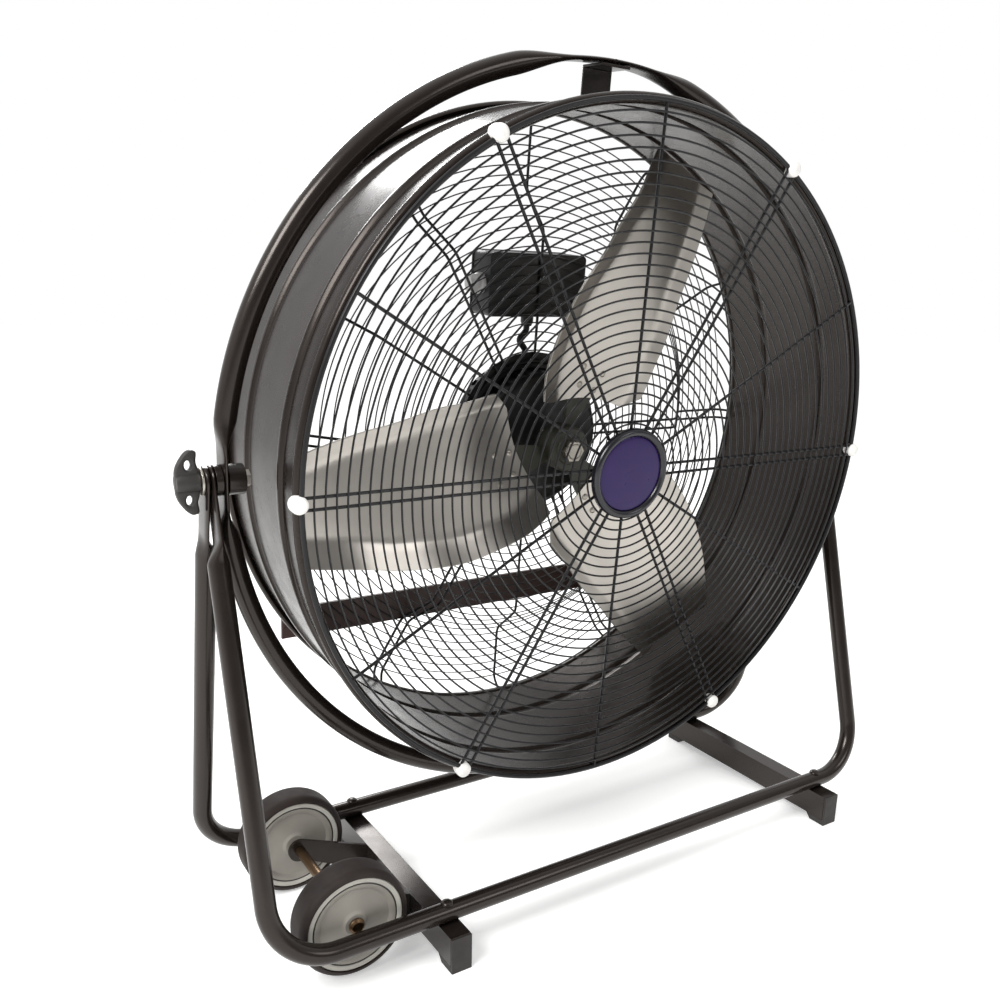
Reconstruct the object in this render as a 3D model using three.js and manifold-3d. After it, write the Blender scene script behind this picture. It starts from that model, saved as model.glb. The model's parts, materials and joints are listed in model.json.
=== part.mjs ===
// A 30 inch drum fan on a tilting tube stand with two transport wheels.
// Millimetres, +Z up. The fan blows towards -Y. The origin lies on the floor,
// midway across the width and the depth.
import Module from 'manifold-3d';
import * as THREE from 'three';
import { mergeVertices } from 'three/addons/utils/BufferGeometryUtils.js';

const wasm = await Module();
wasm.setup();

// ---- driving dimensions -------------------------------------------------

const clearance = 0.3;          // between pieces that touch or pass through each other
const restTilt = 4.8;           // degrees that the drum faces down

// drum
const drumRadius = 382.5;       // outside of the sheet
const drumFront = 96;           // bead centre in front of the tilt axis
const drumRear = 120;           // bead centre behind the tilt axis
const sheetThickness = 2.5;
const beadRadius = 6;
const beadOffset = 1.5;         // bead centre outside the sheet's outer face
const ribHeight = 4;
const ribWidth = 12;
const frontRibSetback = 51;     // behind the front bead
const rearRibSetback = 64;      // in front of the rear bead
const drainRadius = 7.5;
const drainBehindAxis = 28;

// guards
const guardRimWire = 2.5;       // radius
const ringWire = 1.75;          // radius
const spokeWire = 1.75;         // radius
const weldDepth = 1.2;          // ring wire sunk into the spokes
const spokePairHalf = 6;
const spokePairs = 6;
const frontRings = 4;
const rearRings = 3;
const guardPlateRadius = 46;
const guardPlateThickness = 3;
const rearStepOuter = 293;      // radius where the rear guard's cone starts
const rearStepInner = 250;      // radius where the cone ends
const rearDish = 44;            // depth of the cone
const rearBulge = 13;           // outer annulus behind the rear guard's rim wire
const rearGuardBore = 92;
const clipRadius = 8.75;
const clipCover = 3.7;
const badgeRadius = 52;
const badgeLip = 9;
const badgeHeight = 8;
const badgeDiscHeight = 4;

// motor, fan and shaft
const motorRadius = 84;
const motorShellWall = 4;
const motorFront = 64;          // front face behind the tilt axis
const motorLength = 86;
const motorChamfer = 10;
const motorSides = 24;          // flats round the motor and the pieces that fit it
const motorFlangeRadius = 98;
const motorFlangeThickness = 6;
const mountRingWidth = 20;
const mountRingThickness = 4;
const shaftRadius = 9;
const shaftPortGap = 3;         // round the shaft, in the motor's front face
const bearingRadius = 22;
const bearingWidth = 12;
const statorLength = 40;
const rotorRadius = 50;
const airGap = 1.5;
const hubRadius = 28;
const hubLength = 34;
const hubFront = 4;             // front face behind the tilt axis
const hubNutRadius = 14;
const hubNutHeight = 9;
const bladeCount = 3;
const bladeThickness = 2.4;
const bladeTip = 358;
const bladeRootLine = 60.5;     // distance of the straight root edge from the axis
const bladeRootNormal = 87.6;   // degrees, where that distance is measured
const bladeSag = 7;             // hollow of the blade's front face
const armReach = 112;
const armThickness = 4;
const armRootDepth = 6;         // of an arm's root inside the hub

// switch box and its lead
const boxWidth = 140;
const boxHeight = 75;
const boxDepth = 42;
const boxCoverThickness = 3;
const boxCentre = 184;          // above the fan axis
const boxCorner = 6;
const dialRadius = 12.5;
const dialHeight = 18;
const glandRadius = 8;
const glandHeight = 13;
const leadRadius = 4;
const leadSag = 9;              // the lead's sideways bow

// brace bar behind the rear guard
const braceHeight = 40;
const braceThickness = 4;
const braceDrop = 233;          // below the fan axis
const standOffRadius = 5.5;

// hoop
const tubeRadius = 11;
const hoopStandOff = 42.5;      // hoop centre line outside the drum sheet
const flatThickness = 5;        // of a tube that is pressed flat
const flatWidth = 32;
const hoopEndGap = 1.5;
const hoopEndFlat = 45;
const hoopEndBlend = 75;
const pivotFlat = 28;
const pivotBlend = 34;
const hoopBracketWidth = 38;
const hoopBracketThickness = 3;
const hoopBracketFoot = 30;

// pivots
const boltRadius = 5;
const boltHeadRadius = 9;
const boltHeadHeight = 6;
const bossRadius = 15.5;
const bossLength = 17;
const spacerLength = 7;
const washerRadius = 14;
const washerThickness = 2.5;
const knobHalfSpan = 32;
const knobDepth = 23;
const knobThickness = 9;
const knobHubRadius = 10;

// stand
const standDrop = 480;          // tilt axis above the centre line of the floor tubes
const standHalfSpread = 130;
const cornerRadius = 68;
const tabEnd = 15;              // flattened leg above the tilt axis
const tabFlat = 58;
const tabBlend = 26;
const railWidth = 25;
const railHeight = 35;
const railWall = 2;
const railReach = 165;          // end of a rail in front of and behind the tilt axis
const railLeft = 243;
const railRight = 357;
const footThickness = 8;
const footLength = 32;
const footChamfer = 7;
const footEndPlate = 3;

// wheels
const wheelRadius = 62.5;
const wheelWidth = 38;
const wheelDiscRadius = 55;
const wheelGroove = 48;
const wheelGrooveWidth = 2;
const wheelGrooveDepth = 1.2;
const wheelFromRail = 100;      // axle centre left of the left rail's centre line
const wheelLift = 0.5;          // tyre above the floor
const frontWheelFace = 112;     // in front of the tilt axis
const rearWheelFace = 68;       // behind the tilt axis
const axleRadius = 6;
const axleBossRadius = 14;
const axleBracketThickness = 4;
const axleBracketGap = 9;
const axleCapRadius = 9;
const axleCapHeight = 5;

// ---- sizes that follow ----------------------------------------------------

const beadCircle = drumRadius + beadOffset;
const beadFace = beadRadius + clearance;
const hoopRadius = drumRadius + hoopStandOff;
const railTop = footThickness + clearance + railHeight;
const pivotHeight = railTop + clearance + tubeRadius + standDrop;
const lean = Math.atan2(standHalfSpread, standDrop);
const legLength = Math.hypot(standHalfSpread, standDrop);
const spacerStart = hoopRadius + flatThickness / 2 + clearance;
const innerTab = spacerStart + spacerLength + clearance + flatThickness / 2;
const outerTab = innerTab + flatThickness + clearance;
const legX = (innerTab + outerTab) / 2;
const washerStart = outerTab + flatThickness / 2 + clearance;
const knobStart = washerStart + washerThickness + clearance;
const frontGuardY = -drumFront - beadFace - guardRimWire;
const ringOffset = spokeWire + ringWire - weldDepth;
const frontRingY = frontGuardY - ringOffset;
const rearGuardY = drumRear + beadFace + guardRimWire;
const rearAnnulusY = rearGuardY + rearBulge;
const rearInnerY = rearAnnulusY - rearDish;
const motorRear = motorFront + motorLength;
const mountRingY = rearInnerY + guardRimWire + clearance;
const motorFlangeY = mountRingY + mountRingThickness + clearance;
const boxFrontY = rearInnerY + spokeWire + clearance;
const braceY = rearAnnulusY + spokeWire + clearance;
const axleX = -railLeft - wheelFromRail;
const axleZ = wheelRadius + wheelLift;
const tilt = THREE.MathUtils.degToRad(restTilt);

// ---- finishes -------------------------------------------------------------

function finish(color, roughness, metalness) {
  return new THREE.MeshStandardMaterial({ color, roughness, metalness });
}

const finishes = {
  drumPaint: finish(0x2b2523, 0.35, 0.5),
  tubePaint: finish(0x2d2623, 0.4, 0.5),
  guardWire: finish(0x17161a, 0.45, 0.5),
  blade: finish(0xa59b96, 0.35, 0.8),
  hub: finish(0x2c2b22, 0.5, 0.6),
  motor: finish(0x141414, 0.5, 0.4),
  box: finish(0x161616, 0.6, 0.1),
  knob: finish(0x33302e, 0.6, 0.0),
  dial: finish(0xc9c8c6, 0.5, 0.0),
  clip: finish(0xf0eeeb, 0.5, 0.0),
  badgeRim: finish(0x121216, 0.35, 0.1),
  badgeDisc: finish(0x371969, 0.4, 0.0),
  brace: finish(0x3c2a26, 0.45, 0.4),
  wheelDisc: finish(0x969187, 0.55, 0.1),
  tyre: finish(0x322826, 0.8, 0.0),
  foot: finish(0x2a2422, 0.8, 0.0),
  zinc: finish(0xa8a294, 0.35, 0.9),
  axle: finish(0x8d7a58, 0.4, 0.8),
  copper: finish(0x9a5a34, 0.5, 0.7),
  cable: finish(0x151515, 0.6, 0.0),
};

// ---- geometry helpers -----------------------------------------------------

// One closed mesh of shared points, with its faces pointing out.
function closed(geometry) {
  const bare = geometry.clone();
  for (const name of Object.keys(bare.attributes)) {
    if (name !== 'position') {
      bare.deleteAttribute(name);
    }
  }
  const merged = mergeVertices(bare, 1e-4);
  const corners = merged.index.array;
  const kept = [];
  for (let i = 0; i < corners.length; i += 3) {
    const [a, b, c] = [corners[i], corners[i + 1], corners[i + 2]];
    if (a !== b && b !== c && c !== a) {
      kept.push(a, b, c);
    }
  }
  if (signedVolume(merged.attributes.position, kept) < 0) {
    kept.reverse();
  }
  merged.setIndex(kept);
  return merged;
}

function signedVolume(position, triangles) {
  const [a, b, c] = [new THREE.Vector3(), new THREE.Vector3(), new THREE.Vector3()];
  let volume = 0;
  for (let i = 0; i < triangles.length; i += 3) {
    a.fromBufferAttribute(position, triangles[i]);
    b.fromBufferAttribute(position, triangles[i + 1]);
    c.fromBufferAttribute(position, triangles[i + 2]);
    volume += a.dot(b.cross(c));
  }
  return volume;
}

function toSolid(geometry) {
  const mesh = closed(geometry);
  return new wasm.Manifold(new wasm.Mesh({
    numProp: 3,
    vertProperties: new Float32Array(mesh.attributes.position.array),
    triVerts: new Uint32Array(mesh.index.array),
  }));
}

function toGeometry(solid) {
  const mesh = solid.getMesh();
  const geometry = new THREE.BufferGeometry();
  geometry.setAttribute('position', new THREE.BufferAttribute(new Float32Array(mesh.vertProperties), 3));
  geometry.setIndex(Array.from(mesh.triVerts));
  return geometry;
}

function join(...geometries) {
  return toGeometry(geometries.map(toSolid).reduce((whole, next) => whole.add(next)));
}

function cut(geometry, ...tools) {
  return toGeometry(tools.map(toSolid).reduce((whole, next) => whole.subtract(next), toSolid(geometry)));
}

function node(name, geometry, material) {
  const mesh = new THREE.Mesh(closed(geometry), material);
  mesh.name = name;
  return mesh;
}

// Every point of a geometry moved by change(point).
function reshape(geometry, change) {
  const position = geometry.attributes.position;
  const point = new THREE.Vector3();
  for (let i = 0; i < position.count; i += 1) {
    point.fromBufferAttribute(position, i);
    change(point);
    position.setXYZ(i, point.x, point.y, point.z);
  }
  return geometry;
}

// A body turned about the Y axis from [radius, y] points, closed on themselves or on the axis.
function turned(points, segments) {
  const profile = points.map(([radius, y]) => new THREE.Vector2(radius, y));
  if (points[0][0] > 0 || points[points.length - 1][0] > 0) {
    profile.push(profile[0].clone());
  }
  return new THREE.LatheGeometry(profile, segments);
}

function rod(radius, y0, y1, segments = 16) {
  return new THREE.CylinderGeometry(radius, radius, y1 - y0, segments).translate(0, (y0 + y1) / 2, 0);
}

function sleeve(bore, radius, y0, y1, segments = 20) {
  return turned([[bore, y0], [radius, y0], [radius, y1], [bore, y1]], segments);
}

// The same body turned to lie along X, on the given side.
function alongX(geometry, side) {
  return geometry.rotateZ(-side * Math.PI / 2);
}

class Route extends THREE.Curve {
  constructor(stations) {
    super();
    this.stations = stations;
  }

  getPoint(t, target = new THREE.Vector3()) {
    const last = this.stations.length - 1;
    const along = Math.min(Math.max(t, 0) * last, last - 1e-9);
    const i = Math.floor(along);
    return target.lerpVectors(this.stations[i], this.stations[i + 1], along - i);
  }

  getUtoTmapping(u) {
    return u;
  }
}

// A round bar whose rings stand at the stations.
function sweep(stations, radius, sides) {
  const section = new THREE.Shape();
  for (let i = 0; i < sides; i += 1) {
    const angle = (i + 0.5) * 2 * Math.PI / sides;
    const [x, y] = [radius * Math.cos(angle), radius * Math.sin(angle)];
    if (i === 0) {
      section.moveTo(x, y);
    } else {
      section.lineTo(x, y);
    }
  }
  section.closePath();
  return new THREE.ExtrudeGeometry(section, {
    steps: stations.length - 1,
    extrudePath: new Route(stations),
    bevelEnabled: false,
  });
}

function outline(points) {
  return new THREE.Shape(points.map(([x, y]) => new THREE.Vector2(x, y)));
}

// A shape drawn in X and Z, pushed along Y from y0 to y1.
function plateXZ(shape, y0, y1, curveSegments = 8) {
  const geometry = new THREE.ExtrudeGeometry(shape, { depth: y1 - y0, bevelEnabled: false, curveSegments });
  return geometry.rotateX(Math.PI / 2).translate(0, y1, 0);
}

// A shape drawn in Y and Z, pushed along X from x0 to x1.
function plateYZ(shape, x0, x1) {
  const geometry = new THREE.ExtrudeGeometry(shape, { depth: x1 - x0, bevelEnabled: false });
  return reshape(geometry, (p) => p.set(x0 + p.z, p.x, p.y));
}

function ramp(value, start, end) {
  return THREE.MathUtils.smoothstep(value, start, end);
}

function between(table, at) {
  const last = table.length - 1;
  const i = Math.min(Math.max(table.findIndex(([x]) => x > at) - 1, 0), last - 1);
  const row = at >= table[last][0] ? last - 1 : i;
  const [[x0, y0], [x1, y1]] = [table[row], table[row + 1]];
  return y0 + (y1 - y0) * (at - x0) / (x1 - x0);
}

function polar(radius, degrees, y = 0) {
  const angle = THREE.MathUtils.degToRad(degrees);
  return new THREE.Vector3(radius * Math.cos(angle), y, radius * Math.sin(angle));
}

// Thickness and width of a tube pressed flat by the share given.
function pressed(offset, across, share) {
  const half = flatThickness / 2;
  const flat = Math.min(Math.max(offset, -half), half);
  const widened = across * flatWidth / (2 * tubeRadius);
  return [offset + (flat - offset) * share, across + (widened - across) * share];
}

// ---- drum -----------------------------------------------------------------

function sheetLine() {
  const middle = drumRadius - sheetThickness / 2;
  const points = [];
  for (const ribY of [-drumFront + frontRibSetback, drumRear - rearRibSetback]) {
    points.push([middle, ribY - ribWidth / 2], [middle + ribHeight, ribY], [middle, ribY + ribWidth / 2]);
  }
  return points;
}

function bead(centreY, outward) {
  const points = [];
  const steps = 6;
  const opening = 2 * Math.asin(sheetThickness / beadRadius);
  for (let i = 0; i <= steps; i += 1) {
    const angle = opening / 2 + (2 * Math.PI - opening) * i / steps;
    const [radial, axial] = [Math.sin(angle) * beadRadius, Math.cos(angle) * beadRadius];
    points.push([beadCircle + radial, centreY - outward * axial]);
  }
  return points;
}

function drumShell() {
  const line = sheetLine();
  const half = sheetThickness / 2;
  const outer = line.map(([r, y]) => [r + half, y]);
  const inner = line.map(([r, y]) => [r - half, y]).reverse();
  const profile = [...outer, ...bead(drumRear, 1), ...inner, ...bead(-drumFront, -1).reverse()
    .map(([r, y]) => [2 * beadCircle - r, y]).reverse()];
  const shell = turned(profile, 48);
  const drain = rod(drainRadius, -2 * hoopStandOff, 0, 12).rotateX(Math.PI / 2)
    .translate(0, drainBehindAxis, -drumRadius + hoopStandOff);
  return cut(shell, drain);
}

// ---- guards ---------------------------------------------------------------

function ringAt(radius, y, wire, segments = 30) {
  return new THREE.TorusGeometry(radius, wire, 3, segments).rotateX(Math.PI / 2).translate(0, y, 0);
}

function spokeAngles() {
  const step = 360 / spokePairs;
  return Array.from({ length: spokePairs }, (_, i) => i * step);
}

// Spokes along [radius, y] points: a pair at each clip and one halfway to the next.
function spokes(profile) {
  const bars = [];
  for (const degrees of spokeAngles()) {
    for (const [turn, offset] of [[0, -spokePairHalf], [0, spokePairHalf], [180 / spokePairs, 0]]) {
      const stations = profile.map(([r, y]) => new THREE.Vector3(r, y, offset));
      const bar = sweep(stations, spokeWire, 4);
      bars.push(bar.rotateY(-THREE.MathUtils.degToRad(degrees + turn)));
    }
  }
  return bars;
}

function frontGuard() {
  const reach = beadCircle - guardRimWire / 2;
  const bars = spokes([[guardPlateRadius / 2, frontGuardY], [reach, frontGuardY]]);
  const rings = [ringAt(beadCircle, frontGuardY, guardRimWire)];
  for (let i = 1; i <= frontRings; i += 1) {
    const radius = badgeRadius + (beadCircle - badgeRadius) * i / (frontRings + 1);
    rings.push(ringAt(radius, frontRingY, ringWire));
  }
  const plate = rod(guardPlateRadius, frontRingY - ringWire, frontRingY - ringWire + guardPlateThickness, 24);
  return join(plate, ...bars, ...rings);
}

function rearProfileY(radius) {
  const rise = (radius - rearStepInner) / (rearStepOuter - rearStepInner);
  return rearInnerY + rearDish * Math.min(Math.max(rise, 0), 1);
}

function rearGuard() {
  const bend = beadCircle - rearBulge;
  const bars = spokes([[rearGuardBore, rearInnerY], [rearStepInner, rearInnerY],
    [rearStepOuter, rearAnnulusY], [bend, rearAnnulusY], [beadCircle - guardRimWire / 2, rearGuardY]]);
  const rimRing = ringAt(beadCircle, rearGuardY, guardRimWire);
  const rings = [rimRing, ringAt(rearGuardBore, rearInnerY, guardRimWire)];
  for (let i = 1; i <= rearRings; i += 1) {
    const radius = rearGuardBore + (bend - rearGuardBore) * i / rearRings;
    rings.push(ringAt(radius, rearProfileY(radius) - ringOffset, ringWire));
  }
  return join(...bars, ...rings);
}

// Room for a ring of the wire radius given, on the bead's circle.
function ringSpace(wire, y) {
  const sides = 8;
  const radius = (wire + clearance) / Math.cos(Math.PI / sides);
  return new THREE.TorusGeometry(beadCircle, radius, sides, 96).rotateX(Math.PI / 2).translate(0, y, 0);
}

function guardClip(degrees) {
  const front = frontGuardY - guardRimWire - clipCover;
  const centre = beadCircle + guardRimWire;
  const button = rod(clipRadius, front, -drumFront, 12).translate(centre, 0, 0);
  const beadSpace = ringSpace(beadRadius, -drumFront);
  const wireSpace = ringSpace(guardRimWire, frontGuardY);
  const spokeSpaces = [-spokePairHalf, spokePairHalf].map((offset) => {
    const stations = [[centre - 3 * clipRadius, 0], [beadCircle, 0]]
      .map(([x]) => new THREE.Vector3(x, frontGuardY, offset));
    return sweep(stations, spokeWire + 2 * clearance, 6);
  });
  return cut(button, beadSpace, wireSpace, ...spokeSpaces).rotateY(-THREE.MathUtils.degToRad(degrees));
}

function badge() {
  const back = frontRingY - ringWire - clearance;
  const inner = badgeRadius - badgeLip;
  const rim = turned([[inner, back], [badgeRadius, back], [badgeRadius, back - badgeHeight / 2],
    [badgeRadius - badgeLip / 3, back - badgeHeight], [inner + badgeLip / 3, back - badgeHeight],
    [inner, back - badgeDiscHeight]], 40);
  const disc = turned([[0, back], [inner - clearance, back], [inner - clearance, back - badgeDiscHeight + 1],
    [inner - 1 - clearance, back - badgeDiscHeight], [0, back - badgeDiscHeight]], 40);
  return [node('badge_rim', rim, finishes.badgeRim), node('badge_disc', disc, finishes.badgeDisc)];
}

// ---- motor ----------------------------------------------------------------

function motorShell() {
  const inside = motorRadius - motorShellWall;
  const seat = bearingRadius + clearance;
  const front = motorFront;
  const bearingEnd = front + motorShellWall + bearingWidth;
  const rear = motorRear - motorShellWall - clearance;
  return turned([[shaftRadius + shaftPortGap, front], [motorRadius - motorChamfer, front],
    [motorRadius, front + motorChamfer], [motorRadius, motorFlangeY], [motorFlangeRadius, motorFlangeY],
    [motorFlangeRadius, motorFlangeY + motorFlangeThickness],
    [motorRadius, motorFlangeY + motorFlangeThickness],
    [motorRadius, rear], [inside, rear], [inside, front + motorChamfer],
    [inside - motorChamfer / 2, front + motorShellWall], [seat + motorShellWall, front + motorShellWall],
    [seat + motorShellWall, bearingEnd], [seat, bearingEnd], [seat, front + motorShellWall],
    [shaftRadius + shaftPortGap, front + motorShellWall]], motorSides);
}

function motorCover() {
  const seat = bearingRadius + clearance;
  const inner = motorRear - motorShellWall;
  return turned([[0, motorRear], [motorRadius - motorShellWall, motorRear], [motorRadius, inner + 1],
    [motorRadius, inner], [seat + motorShellWall, inner], [seat + motorShellWall, inner - bearingWidth],
    [seat, inner - bearingWidth], [seat, inner], [0, inner]], motorSides);
}

function motorInside() {
  const frontSeat = motorFront + motorShellWall + clearance;
  const rearSeat = motorRear - motorShellWall - clearance;
  const middle = (motorFront + motorRear) / 2;
  const statorOuter = motorRadius - motorShellWall - clearance;
  const bore = shaftRadius + clearance;
  const front = sleeve(bore, bearingRadius, frontSeat, frontSeat + bearingWidth - clearance, motorSides);
  const rear = sleeve(bore, bearingRadius, rearSeat - bearingWidth + clearance, rearSeat,
    motorSides);
  const stator = sleeve(rotorRadius + airGap, statorOuter, middle - statorLength / 2,
    middle + statorLength / 2, motorSides);
  return [node('front_bearing', front, finishes.zinc), node('rear_bearing', rear, finishes.zinc),
    node('stator', stator, finishes.copper)];
}

function shaftWithRotor() {
  const middle = (motorFront + motorRear) / 2;
  const rearEnd = motorRear - motorShellWall - 2 * clearance;
  const front = hubFront - hubNutHeight;
  return turned([[0, front], [shaftRadius, front], [shaftRadius, middle - statorLength / 2],
    [rotorRadius, middle - statorLength / 2], [rotorRadius, middle + statorLength / 2],
    [shaftRadius, middle + statorLength / 2], [shaftRadius, rearEnd], [0, rearEnd]], motorSides);
}

function mountRing() {
  return sleeve(motorRadius + clearance, motorRadius + mountRingWidth, mountRingY,
    mountRingY + mountRingThickness, motorSides);
}

// ---- fan ------------------------------------------------------------------

// Degrees about the fan axis, and distance behind the tilt axis, against radius.
const leadingEdge = [[60, 0], [80, 8], [150, 36], [230, 49], [300, 54.5], [358, 58.5]];
const trailingEdge = [[60, 137], [80, 129], [150, 106], [230, 90], [300, 81], [358, 77]];
const leadingY = [[60, 25], [150, 14], [358, 13]];
const trailingY = [[60, -2], [150, -14], [230, -27], [300, -20], [358, -4]];

// The blade's middle surface: share 0 at the leading edge and 1 at the trailing edge.
function bladePoint(radius, share) {
  const start = between(leadingEdge, radius);
  const end = between(trailingEdge, radius);
  const straight = between(leadingY, radius) * (1 - share) + between(trailingY, radius) * share;
  return polar(radius, start + (end - start) * share, straight + bladeSag * 4 * share * (1 - share));
}

function bladeNormal(radius, share) {
  const step = 0.5;
  const along = bladePoint(radius + step, share).sub(bladePoint(radius - step, share));
  const across = bladePoint(radius, share + step / 20).sub(bladePoint(radius, share - step / 20));
  const normal = along.cross(across).normalize();
  return normal.y < 0 ? normal.negate() : normal;
}

function rootRadius(share) {
  let radius = hubRadius + bladeRootLine;
  for (let i = 0; i < 24; i += 1) {
    const point = bladePoint(radius, share);
    const angle = Math.atan2(point.z, point.x) - THREE.MathUtils.degToRad(bladeRootNormal);
    radius = (radius + bladeRootLine / Math.cos(angle)) / 2;
  }
  return radius;
}

// A plate of even thickness on the blade's surface, pushed back by the offset given.
function onBlade(inner, outer, shares, thickness, offset, steps) {
  const box = new THREE.BoxGeometry(1, 1, 1, steps[0], steps[1], 1);
  return reshape(box, (p) => {
    const share = shares[0] + (shares[1] - shares[0]) * (p.y + 0.5);
    const start = inner(share);
    const radius = start + (outer - start) * (p.x + 0.5);
    const lift = offset + thickness * p.z;
    p.copy(bladePoint(radius, share).addScaledVector(bladeNormal(radius, share), lift));
  });
}

function blade(index) {
  const plate = onBlade(rootRadius, bladeTip, [0, 1], bladeThickness, 0, [7, 6]);
  return plate.rotateY(-index * 2 * Math.PI / bladeCount);
}

function fanHub() {
  const behind = bladeThickness / 2 + clearance + armThickness / 2;
  const boss = rod(hubRadius, hubFront, hubFront + hubLength, 24);
  const nut = rod(hubNutRadius, hubFront - hubNutHeight, hubFront + 1, 6);
  const arms = Array.from({ length: bladeCount }, (_, i) => {
    const arm = onBlade(() => hubRadius - armRootDepth, armReach, [0.4, 0.66], armThickness, behind, [4, 3]);
    return arm.rotateY(-i * 2 * Math.PI / bladeCount);
  });
  const bore = rod(shaftRadius + clearance, hubFront - 2 * hubNutHeight, hubFront + 2 * hubLength, 32);
  return cut(join(boss, nut, ...arms), bore);
}

// ---- switch box -----------------------------------------------------------

function roundedRectangle(width, height, corner) {
  const shape = new THREE.Shape();
  const [x, y] = [width / 2, height / 2];
  shape.moveTo(-x + corner, -y);
  shape.lineTo(x - corner, -y);
  shape.absarc(x - corner, -y + corner, corner, -Math.PI / 2, 0);
  shape.absarc(x - corner, y - corner, corner, 0, Math.PI / 2);
  shape.absarc(-x + corner, y - corner, corner, Math.PI / 2, Math.PI);
  shape.absarc(-x + corner, -y + corner, corner, Math.PI, 1.5 * Math.PI);
  return shape;
}

function switchBox() {
  const face = roundedRectangle(boxWidth, boxHeight, boxCorner);
  const coverFace = roundedRectangle(boxWidth + 2, boxHeight + 2, boxCorner + 1);
  const back = boxFrontY + boxDepth;
  const body = plateXZ(face, boxFrontY, back, 3).translate(0, 0, boxCentre);
  const cover = plateXZ(coverFace, back + clearance, back + clearance + boxCoverThickness, 3)
    .translate(0, 0, boxCentre);
  return [node('switch_box', body, finishes.box), node('switch_box_cover', cover, finishes.box)];
}

function dial() {
  const start = boxWidth / 2 + clearance;
  const skirt = turned([[0, start], [dialRadius, start], [dialRadius, start + dialHeight / 3],
    [dialRadius * 0.8, start + dialHeight / 2], [dialRadius * 0.75, start + dialHeight],
    [0, start + dialHeight]], 20);
  return alongX(skirt, -1).translate(0, boxFrontY + boxDepth / 2, boxCentre);
}

const leadX = 0;
const leadY = boxFrontY + boxDepth / 2;
const boxGlandTop = boxCentre - boxHeight / 2 - clearance;
const motorGlandFoot = Math.sqrt(motorRadius ** 2 - glandRadius ** 2) + 1;

function gland(top) {
  const body = turned([[leadRadius + clearance, 0], [glandRadius, 0], [glandRadius, glandHeight * 0.6],
    [glandRadius * 0.75, glandHeight], [leadRadius + clearance, glandHeight]], 12).rotateX(Math.PI / 2);
  return top ? body.rotateX(Math.PI).translate(leadX, leadY, boxGlandTop) : body;
}

// The lead runs straight through both glands and bows between them.
function motorLead() {
  const top = boxGlandTop - 2 * clearance;
  const foot = motorRadius + 2;
  const straight = glandHeight + 3;
  const free = top - foot - 2 * straight;
  const steps = 8;
  const stations = [new THREE.Vector3(leadX, leadY, top)];
  for (let i = 0; i <= steps; i += 1) {
    const bow = leadSag * Math.sin(Math.PI * i / steps) ** 2;
    stations.push(new THREE.Vector3(leadX - bow, leadY, top - straight - free * i / steps));
  }
  stations.push(new THREE.Vector3(leadX, leadY, foot));
  return sweep(stations, leadRadius, 8);
}

function motorGland() {
  const body = gland(false).translate(leadX, leadY, motorGlandFoot);
  return cut(body, rod(motorRadius + clearance, leadY - 2 * glandRadius, leadY + 2 * glandRadius, 72));
}

// ---- brace bar ------------------------------------------------------------

// A flat bar on two round stand-offs that sit on the rear guard's rim wire.
function braceBar() {
  const seat = Math.sqrt(beadCircle ** 2 - braceDrop ** 2);
  const end = seat + 2 * standOffRadius;
  const [low, high] = [-braceDrop - braceHeight / 2, -braceDrop + braceHeight / 2];
  const face = outline([[-end, low], [end, low], [end, high], [-end, high]]);
  const bar = plateXZ(face, braceY, braceY + braceThickness);
  const seatY = rearGuardY + guardRimWire + clearance;
  const feet = [-seat, seat].map((x) => rod(standOffRadius, seatY, braceY + 1, 12)
    .translate(x, 0, -braceDrop));
  return join(bar, ...feet);
}

// ---- hoop -----------------------------------------------------------------

function hoopHalf(side) {
  const steps = 40;
  const endAngle = Math.PI / 2 - hoopEndGap / hoopRadius;
  const stations = Array.from({ length: steps + 1 }, (_, i) => {
    const angle = endAngle - 2 * endAngle * i / steps;
    return new THREE.Vector3(side * hoopRadius * Math.cos(angle), 0, hoopRadius * Math.sin(angle));
  });
  const tube = reshape(sweep(stations, tubeRadius, 8), (p) => {
    const radial = Math.hypot(p.x, p.z);
    const angle = Math.asin(Math.min(Math.max(p.z / radial, -1), 1));
    const fromEnd = (Math.PI / 2 - Math.abs(angle)) * hoopRadius;
    const fromPivot = Math.abs(angle) * hoopRadius;
    const atPivot = 1 - ramp(fromPivot, pivotFlat, pivotFlat + pivotBlend);
    const share = Math.max(1 - ramp(fromEnd, hoopEndFlat, hoopEndFlat + hoopEndBlend), atPivot);
    const [offset, across] = pressed(radial - hoopRadius, p.y, share);
    const scale = (hoopRadius + offset) / radial;
    const flatX = side * (hoopRadius + offset);
    p.set(p.x * scale + (flatX - p.x * scale) * atPivot, across, p.z * scale);
  });
  const reach = 2 * tubeRadius;
  const hole = alongX(rod(boltRadius + clearance, hoopRadius - reach, hoopRadius + reach, 16), side);
  return cut(tube, hole);
}

// A folded strap from the drum's sheet to the underside of the hoop's flattened ends.
function hoopBracket(side) {
  const t = hoopBracketThickness;
  const foot = drumRadius + clearance;
  const underside = hoopRadius - flatThickness / 2;
  const top = Math.sqrt(underside ** 2 - (hoopBracketWidth / 2) ** 2) - 2 * clearance;
  const front = -flatWidth / 2;
  const web = flatWidth / 2 + t;
  const shape = outline([[front, top - t], [web - t, top - t], [web - t, foot], [web + hoopBracketFoot, foot],
    [web + hoopBracketFoot, foot + t], [web, foot + t], [web, top], [front, top]]);
  const strap = plateYZ(shape, -hoopBracketWidth / 2, hoopBracketWidth / 2);
  return side > 0 ? strap : strap.rotateY(Math.PI);
}

// ---- pivots ---------------------------------------------------------------

function pivotBoss(side) {
  const end = hoopRadius - flatThickness / 2 - clearance;
  return alongX(sleeve(boltRadius + clearance, bossRadius, end - bossLength, end, 20), side);
}

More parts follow.
